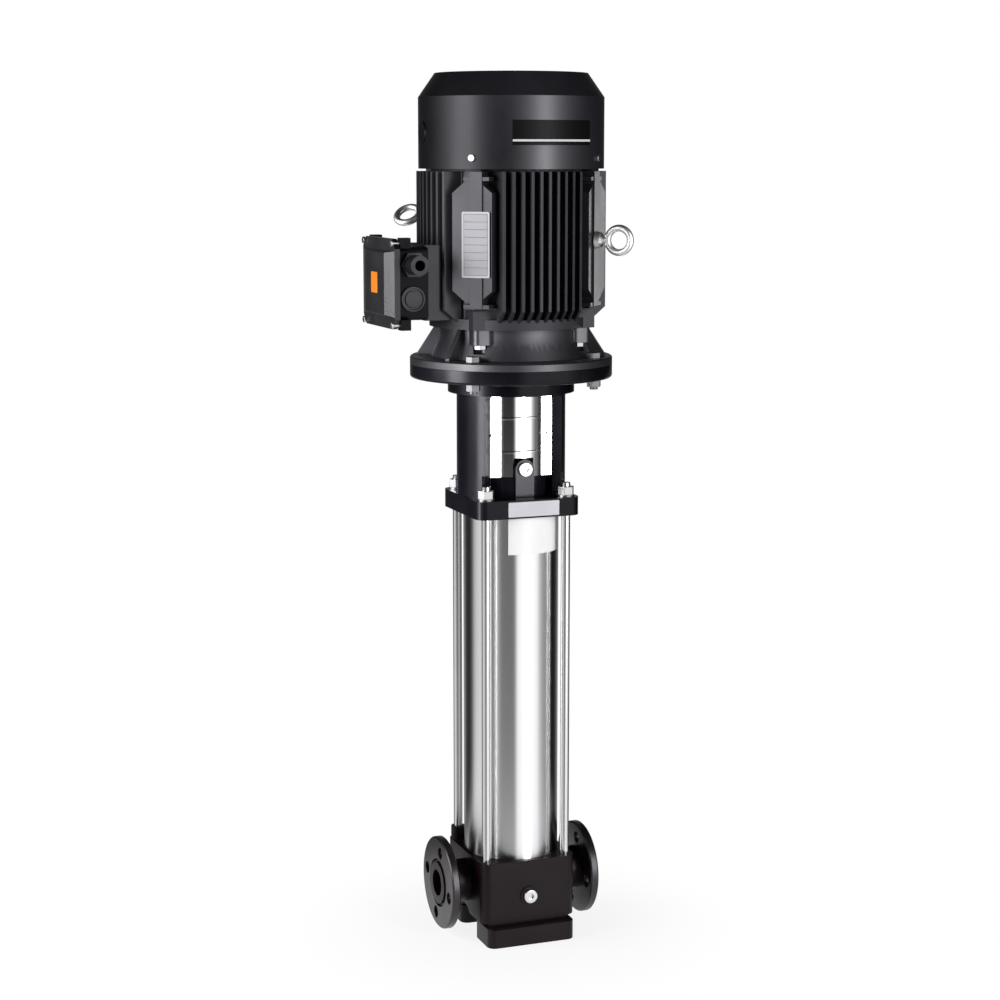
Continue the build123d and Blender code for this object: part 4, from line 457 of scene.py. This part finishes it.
# Darker colour, lighter colour, roughness, lines across, lines along, line depth.
metals = {
    "sleeve_polish": ((0.86, 0.86, 0.88), (0.93, 0.93, 0.94), (0.27, 0.31), 900, 5, 0.000001, 1.0),
    "guard_polish": ((0.86, 0.86, 0.87), (0.92, 0.92, 0.92), (0.10, 0.14), 1100, 8, 0.000003),
    "drawn_bar": ((0.66, 0.66, 0.66), (0.78, 0.78, 0.78), (0.16, 0.28), 1600, 20, 0.00002),
    "zinc_plate": ((0.56, 0.56, 0.57), (0.70, 0.70, 0.71), (0.26, 0.38), 500, 500, 0.00002),
    "bright_zinc": ((0.80, 0.80, 0.79), (0.92, 0.92, 0.91), (0.38, 0.48), 500, 500, 0.00002),
    "dull_zinc": ((0.22, 0.22, 0.23), (0.32, 0.32, 0.33), (0.34, 0.46), 500, 500, 0.00002),
    "turned_steel": ((0.50, 0.50, 0.51), (0.60, 0.60, 0.61), (0.22, 0.34), 60, 2500, 0.00002),
    "sheet_stack": ((0.22, 0.22, 0.23), (0.32, 0.32, 0.33), (0.4, 0.55), 40, 3000, 0.00008),
    "copper_wire": ((0.45, 0.18, 0.07), (0.60, 0.27, 0.12), (0.3, 0.45), 300, 1800, 0.00010),
    "bearing_ring": ((0.66, 0.66, 0.67), (0.74, 0.74, 0.75), (0.10, 0.18), 80, 2000, 0.00001),
    "bush_bronze": ((0.50, 0.32, 0.14), (0.62, 0.42, 0.20), (0.25, 0.4), 80, 2000, 0.00002),
    "plate_foil": ((0.24, 0.24, 0.26), (0.32, 0.32, 0.34), (0.45, 0.55), 30, 1200, 0.00001),
}
finish.update({name: bare_metal(name, *recipe) for name, recipe in metals.items()})
print(len(metals), "bare metals")


# %% Rubber, carbon, board and stickers
def plain_matter(name, dark, light, gloss, depth):
    """Rubber, moulding or paper: like paint, with a soft grain."""
    return paint(name, dark, light, gloss, 600, depth)


# Darker colour, lighter colour, roughness, grain depth.
plain = {
    "black_rubber": ((0.012, 0.012, 0.012), (0.02, 0.02, 0.02), (0.7, 0.85), 0.00010),
    "seal_carbon": ((0.03, 0.03, 0.032), (0.045, 0.045, 0.047), (0.2, 0.3), 0.00002),
    "board_moulding": ((0.22, 0.05, 0.03), (0.28, 0.07, 0.04), (0.4, 0.5), 0.00006),
    "sticker_white": ((0.80, 0.80, 0.80), (0.85, 0.85, 0.85), (0.35, 0.45), 0.00001),
    "sticker_orange": ((0.80, 0.20, 0.015), (0.88, 0.27, 0.02), (0.35, 0.45), 0.00001),
    "plate_enamel": ((0.50, 0.50, 0.52), (0.56, 0.56, 0.58), (0.50, 0.60), 0.00001),
    "plate_ink": ((0.10, 0.10, 0.10), (0.14, 0.14, 0.14), (0.40, 0.50), 0.00001),
}
finish.update({name: plain_matter(name, *recipe) for name, recipe in plain.items()})
print(len(plain), "other finishes")

# %% [markdown]
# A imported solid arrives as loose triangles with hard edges. A casting has no truly sharp edge, and a bare
# sharp edge catches no light, so each visible solid is replaced by a finished copy. The copy is welded, its
# flat areas are joined, its round areas are shaded smooth, and a small bevel rounds what is left. The bevel
# is a modifier, because it then stays easy to change.

# %% Make finished copies of the solids
smooth_limit = radians(32)


def finished_copy(node, material, edge=0.0, segments=2, smooth_below=smooth_limit):
    """Stand a welded, smooth-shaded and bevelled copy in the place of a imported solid."""
    body = frame["nodes"][node]["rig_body"]
    work = bmesh.new()
    work.from_mesh(frame["nodes"][node].data)
    bmesh.ops.remove_doubles(work, verts=work.verts, dist=1e-6)
    bmesh.ops.dissolve_limit(work, angle_limit=radians(0.4), verts=work.verts, edges=work.edges)
    for face in work.faces:
        face.smooth = True
    for seam in work.edges:
        seam.smooth = len(seam.link_faces) == 2 and seam.calc_face_angle(0) < smooth_below
    mesh = bpy.data.meshes.new(node + "_finish")
    work.to_mesh(mesh)
    work.free()
    mesh.materials.append(finish[material])
    piece = bpy.data.objects.new(node + "_finish", mesh)
    bpy.context.scene.collection.objects.link(piece)
    if edge:
        rounding = piece.modifiers.new("rounding", "BEVEL")
        rounding.width = edge
        rounding.segments = segments
        rounding.limit_method = "ANGLE"
        rounding.angle_limit = smooth_below
        rounding.harden_normals = True
    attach(piece, body)
    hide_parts(node)
    return piece


flat_limit = radians(9)
castings = {
    "base_casting": ("base_paint", "base_iron", 0.0016, 3),
    # The flanges take the lighter copy of the base's paint: painted light on the same iron.
    "inlet_flange": ("flange_lit_paint", "base_iron", 0.0006, 2),
    "outlet_flange": ("flange_lit_paint", "base_iron", 0.0006, 2),
    "motor_stool": ("stool_paint", "stool_iron", 0.0012, 2),
    "pump_head": ("stool_paint", "head_iron", 0.0008, 2),
    "drive_end_shield": ("shield_paint", "motor_paint", 0.0012, 2),
    "motor_frame": ("motor_paint", "motor_paint", 0.0008, 2),
    "fan_end_shield": ("motor_paint", "motor_paint", 0.0008, 2),
    "fan_cowl": ("cowl_paint", "cowl_paint", 0.0005, 2),
    "terminal_box": ("box_paint", "cover_paint", 0.0010, 2),
}
for node, (material, slot, edge, segments) in castings.items():
    piece = finished_copy(node, material, edge, segments)
    print(piece.name, len(piece.data.polygons), "faces")

# The cover's bevels are shallow, so they need a smaller limit to stay crisp. Its face is the widest point
# of the pump on that side, so it sits back a little and leaves room for a sticker.
cover = finished_copy("terminal_cover", "cover_paint", 0.0012, 2, flat_limit)
cover_low, cover_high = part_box("terminal_cover")
sticker_room = 0.0004
for corner in cover.data.vertices:
    if corner.co.x < cover_low.x + sticker_room / 4:
        corner.co.x += sticker_room
print(cover.name, "with", round(1000 * sticker_room, 1), "mm of room for its sticker")

# %% [markdown]
# The fasteners and fittings are small and bright, and they sparkle only if their edges are rounded too.
# They get the same copy with finer bevels.

# %% Finish the fasteners and fittings
fittings = {
    "flange_rings": ("base_paint", "rod_steel", 0.0003), "drain_plug": ("zinc_plate", "zinc", 0.0005),
    "vent_plug": ("bright_zinc", "zinc", 0.0005), "tie_rods": ("drawn_bar", "rod_steel", 0.0006),
    "tie_rod_washers": ("zinc_plate", "zinc", 0.0003), "tie_rod_nuts": ("zinc_plate", "zinc", 0.0006),
    "guard_screws": ("zinc_plate", "zinc", 0.0005), "flange_bolts": ("dull_zinc", "zinc", 0.0006),
    "flange_nuts": ("dull_zinc", "zinc", 0.0006), "corner_bolts": ("zinc_plate", "zinc", 0.0005),
    "cowl_screws": ("zinc_plate", "zinc", 0.0006), "cover_screws": ("zinc_plate", "zinc", 0.0006),
    "eye_bolt_left": ("bright_zinc", "zinc", 0.0), "eye_bolt_right": ("bright_zinc", "zinc", 0.0),
    "cable_gland": ("moulded_plastic", "gland_plastic", 0.0006),
    "blanking_plug": ("moulded_plastic", "gland_plastic", 0.0005),
    "cover_gasket": ("black_rubber", "black_rubber", 0.0),
    "coupling_guard_front": ("guard_polish", "guard_steel", 0.0),
    "coupling_guard_rear": ("guard_polish", "guard_steel", 0.0),
    "seal_cover": ("turned_steel", "inner_steel", 0.0),
    "cooling_fan": ("moulded_plastic", "fan_plastic", 0.0005),
}
for node, (material, slot, edge) in fittings.items():
    finished_copy(node, material, edge)
print(len(fittings), "fittings finished")

# %% [markdown]
# The sleeve is the brightest piece and the hardest one, because a mirror shows every flat facet. Its CAD
# mesh has too few sides for that. So its wall is one small rectangle that is spun about the axis in many
# steps, with rounded lips at both ends.

# %% Spin the polished sleeve
sleeve_low, sleeve_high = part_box("outer_sleeve")
sleeve_radius = sleeve_high.x
sleeve_wall = 0.003
sleeve_steps = 192


def spin_profile(name, outline, steps, turn=2 * pi, start=0.0):
    """Spin a closed outline of (radius, height) points about Z and return the object."""
    work = bmesh.new()
    first = Matrix.Rotation(start, 3, "Z")
    corners = [work.verts.new(first @ Vector((radius, 0, height))) for radius, height in outline]
    face = work.faces.new(corners)
    whole = turn > 2 * pi - 1e-6
    bmesh.ops.spin(
        work, geom=[face, *face.edges, *face.verts], angle=turn, steps=steps, axis=(0, 0, 1),
        cent=(0, 0, 0), use_merge=whole,
    )
    if whole:
        bmesh.ops.remove_doubles(work, verts=work.verts, dist=1e-7)
        caps = [f for f in work.faces if len(f.verts) == len(outline) > 4 and abs(f.normal.z) < 1e-3]
        bmesh.ops.delete(work, geom=caps, context="FACES_ONLY")
    bmesh.ops.recalc_face_normals(work, faces=work.faces)
    for face in work.faces:
        face.smooth = True
    for seam in work.edges:
        seam.smooth = len(seam.link_faces) == 2 and seam.calc_face_angle(0) < smooth_limit
    mesh = bpy.data.meshes.new(name)
    work.to_mesh(mesh)
    work.free()
    piece = bpy.data.objects.new(name, mesh)
    bpy.context.scene.collection.objects.link(piece)
    return piece


lip = 0.0005
inner_radius = sleeve_radius - sleeve_wall
sleeve_outline = [
    (inner_radius, sleeve_low.z),
    (sleeve_radius - lip, sleeve_low.z),
    (sleeve_radius, sleeve_low.z + lip),
    (sleeve_radius, sleeve_high.z - lip),
    (sleeve_radius - lip, sleeve_high.z),
    (inner_radius, sleeve_high.z),
]
sleeve = spin_profile("outer_sleeve_finish", sleeve_outline, sleeve_steps)
sleeve.data.materials.append(finish["sleeve_polish"])
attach(sleeve, "frame")
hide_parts("outer_sleeve")
print("sleeve", len(sleeve.data.polygons), "faces, radius", round(sleeve_radius, 4))

# %% [markdown]
# Five thin plates belong to such a pump: a dark strip on the cowl, a rating plate on the corner pad, a
# label on the stool's lower plate, a sticker at the top of the sleeve and a patch on the box's cover. All
# are left bare or plainly ruled. The curved ones are thin outlines spun through part of a turn, so that
# they follow the surface that carries them.

# %% Bend the curved plates round the pump
front = radians(-90)


def curved_plate(name, radius, thickness, left, right, bottom, top, material):
    """A thin plate on a round surface, between two angles from the front and two heights."""
    outline = [(radius, bottom), (radius + thickness, bottom), (radius + thickness, top), (radius, top)]
    steps = max(6, round(abs(right - left) / 3))
    turn = radians(right - left)
    piece = spin_profile(name, outline, steps, turn, front + radians(left))
    piece.data.materials.append(finish[material])
    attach(piece, "frame")
    return piece


cowl_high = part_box("fan_cowl")[1]
gap = 0.0002
strip_radius = cowl_high.x + gap
strip_thickness = 0.0008
strip_left, strip_right = -20, 34
strip_bottom = cowl_high.z - 0.1035
strip_height = 0.035
curved_plate(
    "cowl_strip", strip_radius, strip_thickness, strip_left, strip_right, strip_bottom,
    strip_bottom + strip_height, "strip_black",
)
line_thickness = 0.0003
line_bottom, line_height = strip_bottom + 0.005, 0.003
curved_plate(
    "cowl_strip_line", strip_radius + strip_thickness, line_thickness, strip_left, strip_right, line_bottom,
    line_bottom + line_height, "plate_enamel",
)
sticker_left, sticker_right = -24, 54
sticker_bottom, sticker_top = sleeve_high.z - 0.064, sleeve_high.z - 0.0085
sticker_thickness = 0.0002
curved_plate(
    "sleeve_sticker", sleeve_radius + gap / 2, sticker_thickness, sticker_left, sticker_right,
    sticker_bottom, sticker_top, "sticker_white",
)
print("cowl strip with its line, and the sleeve's sticker")


# %% Rule and fit the flat plates
def flat_plate(name, centre, across, up, width, height, thickness, corner, material):
    """A thin flat plate with rounded corners; across and up are its two directions."""
    across, up = Vector(across).normalized(), Vector(up).normalized()
    out = across.cross(up)
    work = bmesh.new()
    bmesh.ops.create_grid(work, x_segments=1, y_segments=1, size=0.5)
    bmesh.ops.scale(work, vec=(width, height, 1), verts=work.verts)
    bmesh.ops.bevel(
        work, geom=work.verts[:], offset=corner, offset_type="OFFSET", segments=4, profile=0.5,
        affect="VERTICES", material=-1,
    )
    skin = bmesh.ops.extrude_face_region(work, geom=work.faces[:])
    lifted = [item for item in skin["geom"] if isinstance(item, bmesh.types.BMVert)]
    bmesh.ops.translate(work, vec=(0, 0, thickness), verts=lifted)
    turned = Matrix((across, up, out)).transposed().to_4x4()
    bmesh.ops.transform(work, matrix=Matrix.Translation(centre) @ turned, verts=work.verts)
    bmesh.ops.recalc_face_normals(work, faces=work.faces)
    mesh = bpy.data.meshes.new(name)
    work.to_mesh(mesh)
    work.free()
    mesh.materials.append(finish[material])
    piece = bpy.data.objects.new(name, mesh)
    bpy.context.scene.collection.objects.link(piece)
    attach(piece, "frame")
    return piece


pad_distance = 0.1385
pad_turn = radians(-135)
pad_out = Vector((cos(pad_turn), sin(pad_turn), 0))
pad_across = Vector((-sin(pad_turn), cos(pad_turn), 0))
up = Vector((0, 0, 1))
plate_width, plate_height = 0.043, 0.093
plate_thickness = 0.0006
frame_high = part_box("motor_frame")[1]
plate_centre = pad_out * (pad_distance + gap) + pad_across * 0.007 + up * (frame_high.z - 0.1025)


def plate_layer(name, sideways, upwards, width, height, level, thickness, corner, material):
    """A layer of the rating plate, placed from the plate's middle and lying at a level above the pad."""
    centre = plate_centre + pad_across * sideways + up * upwards + pad_out * level
    return flat_plate(name, centre, pad_across, up, width, height, thickness, corner, material)


plate_layer("rating_plate", 0, 0, plate_width, plate_height, 0, plate_thickness, 0.002, "plate_enamel")
margin = 0.0028
line = 0.0007
ink = 0.0001
field_width, field_height = plate_width - 2 * margin, plate_height - 2 * margin
plate_layer("rating_field", 0, 0, field_width, field_height, plate_thickness, ink, 0.0008, "plate_ink")
foil_width, foil_height = field_width - 2 * line, field_height - 2 * line
plate_layer(
    "rating_foil", 0, 0, foil_width, foil_height, plate_thickness + ink, ink, 0.0005, "plate_foil"
)
row_count = 8
row_pitch = foil_height / row_count
rule_level = plate_thickness + 2 * ink
for row in range(1, row_count):
    height = (row - row_count / 2) * row_pitch
    plate_layer("rating_rule_%d" % row, 0, height, foil_width, line, rule_level, ink, 0.0002, "plate_ink")

stool_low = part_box("motor_stool")[0]
label_side, label_front, label_rise = 0.005, -0.081, 0.0135
label_width, label_height, label_thickness = 0.080, 0.022, 0.0005
label_centre = Vector((label_side, label_front - gap, stool_low.z + label_rise))
flat_plate(
    "ring_label", label_centre, (1, 0, 0), up, label_width, label_height, label_thickness, 0.0015,
    "plate_foil",
)
patch_side, patch_thickness = 0.030, 0.0002
patch_centre = Vector((cover_low.x + patch_thickness, 0.0, (cover_low.z + cover_high.z) / 2))
flat_plate(
    "cover_patch", patch_centre, (0, -1, 0), up, patch_side, patch_side, patch_thickness, 0.003,
    "sticker_orange",
)
print("rating plate with", row_count - 1, "ruled lines, the stool's label and the cover's patch")

# %% [markdown]
# The polished pieces would show the left lamp as a stray band, and the right lamp would bleach the nuts.
# The five small lamps would show all over the pump. Light linking settles this: a lamp either lights only
# some pieces, or all but some.

# %% Link the lamps to their pieces
def link_pieces(lamp, nodes, state):
    """Let a lamp light only these pieces (INCLUDE), or all but these (EXCLUDE)."""
    group = bpy.data.collections.new(lamp.name + "_pieces")
    lamp.light_linking.receiver_collection = group
    for node in nodes:
        group.objects.link(bpy.data.objects[node + "_finish"])
    for item in group.collection_objects:
        item.light_linking.link_state = state
    print(lamp.name, state, nodes)


polished = ("outer_sleeve", "coupling_guard_front", "coupling_guard_rear", "tie_rods")
nuts_and_bolts = (
    "tie_rod_nuts", "tie_rod_washers", "flange_bolts", "flange_nuts", "corner_bolts", "cover_screws",
)
link_pieces(left_key, (*polished, "fan_cowl"), "EXCLUDE")
link_pieces(right_fill, ("terminal_box", "terminal_cover", "motor_stool", *nuts_and_bolts), "EXCLUDE")
link_pieces(stool_rim, ("motor_stool",), "INCLUDE")
link_pieces(cowl_key, ("fan_cowl",), "INCLUDE")
link_pieces(left_pads, ("motor_frame", "drive_end_shield"), "INCLUDE")
link_pieces(right_pads, ("motor_frame",), "INCLUDE")
link_pieces(cover_edge, ("terminal_cover",), "INCLUDE")

# %% [markdown]
# The pieces inside keep their CAD meshes, because they are seen only when the pump is taken apart or
# turned. Each still gets a real finish.

# %% Finish the pieces inside
inner_finishes = {
    "sleeve_o_rings": "black_rubber", "seal_seat": "seal_carbon", "seal_ring": "seal_carbon",
    "inlet_collar": "turned_steel", "stage_chambers": "turned_steel", "outlet_collar": "turned_steel",
    "shaft_bushes": "bush_bronze", "pump_shaft": "turned_steel", "impellers": "turned_steel",
    "shaft_nut": "turned_steel", "coupling_half_left": "sheet_stack",
    "coupling_half_right": "sheet_stack", "coupling_screws": "zinc_plate", "stator_core": "sheet_stack",
    "stator_windings": "copper_wire", "motor_shaft": "turned_steel", "rotor_core": "sheet_stack",
    "drive_end_bearing": "bearing_ring", "fan_end_bearing": "bearing_ring",
    "terminal_board": "board_moulding", "terminal_studs": "bush_bronze",
}
for node, material in inner_finishes.items():
    holder = frame["nodes"][node]
    holder.data.materials.clear()
    holder.data.materials.append(finish[material])
print(len(inner_finishes), "inner pieces finished")
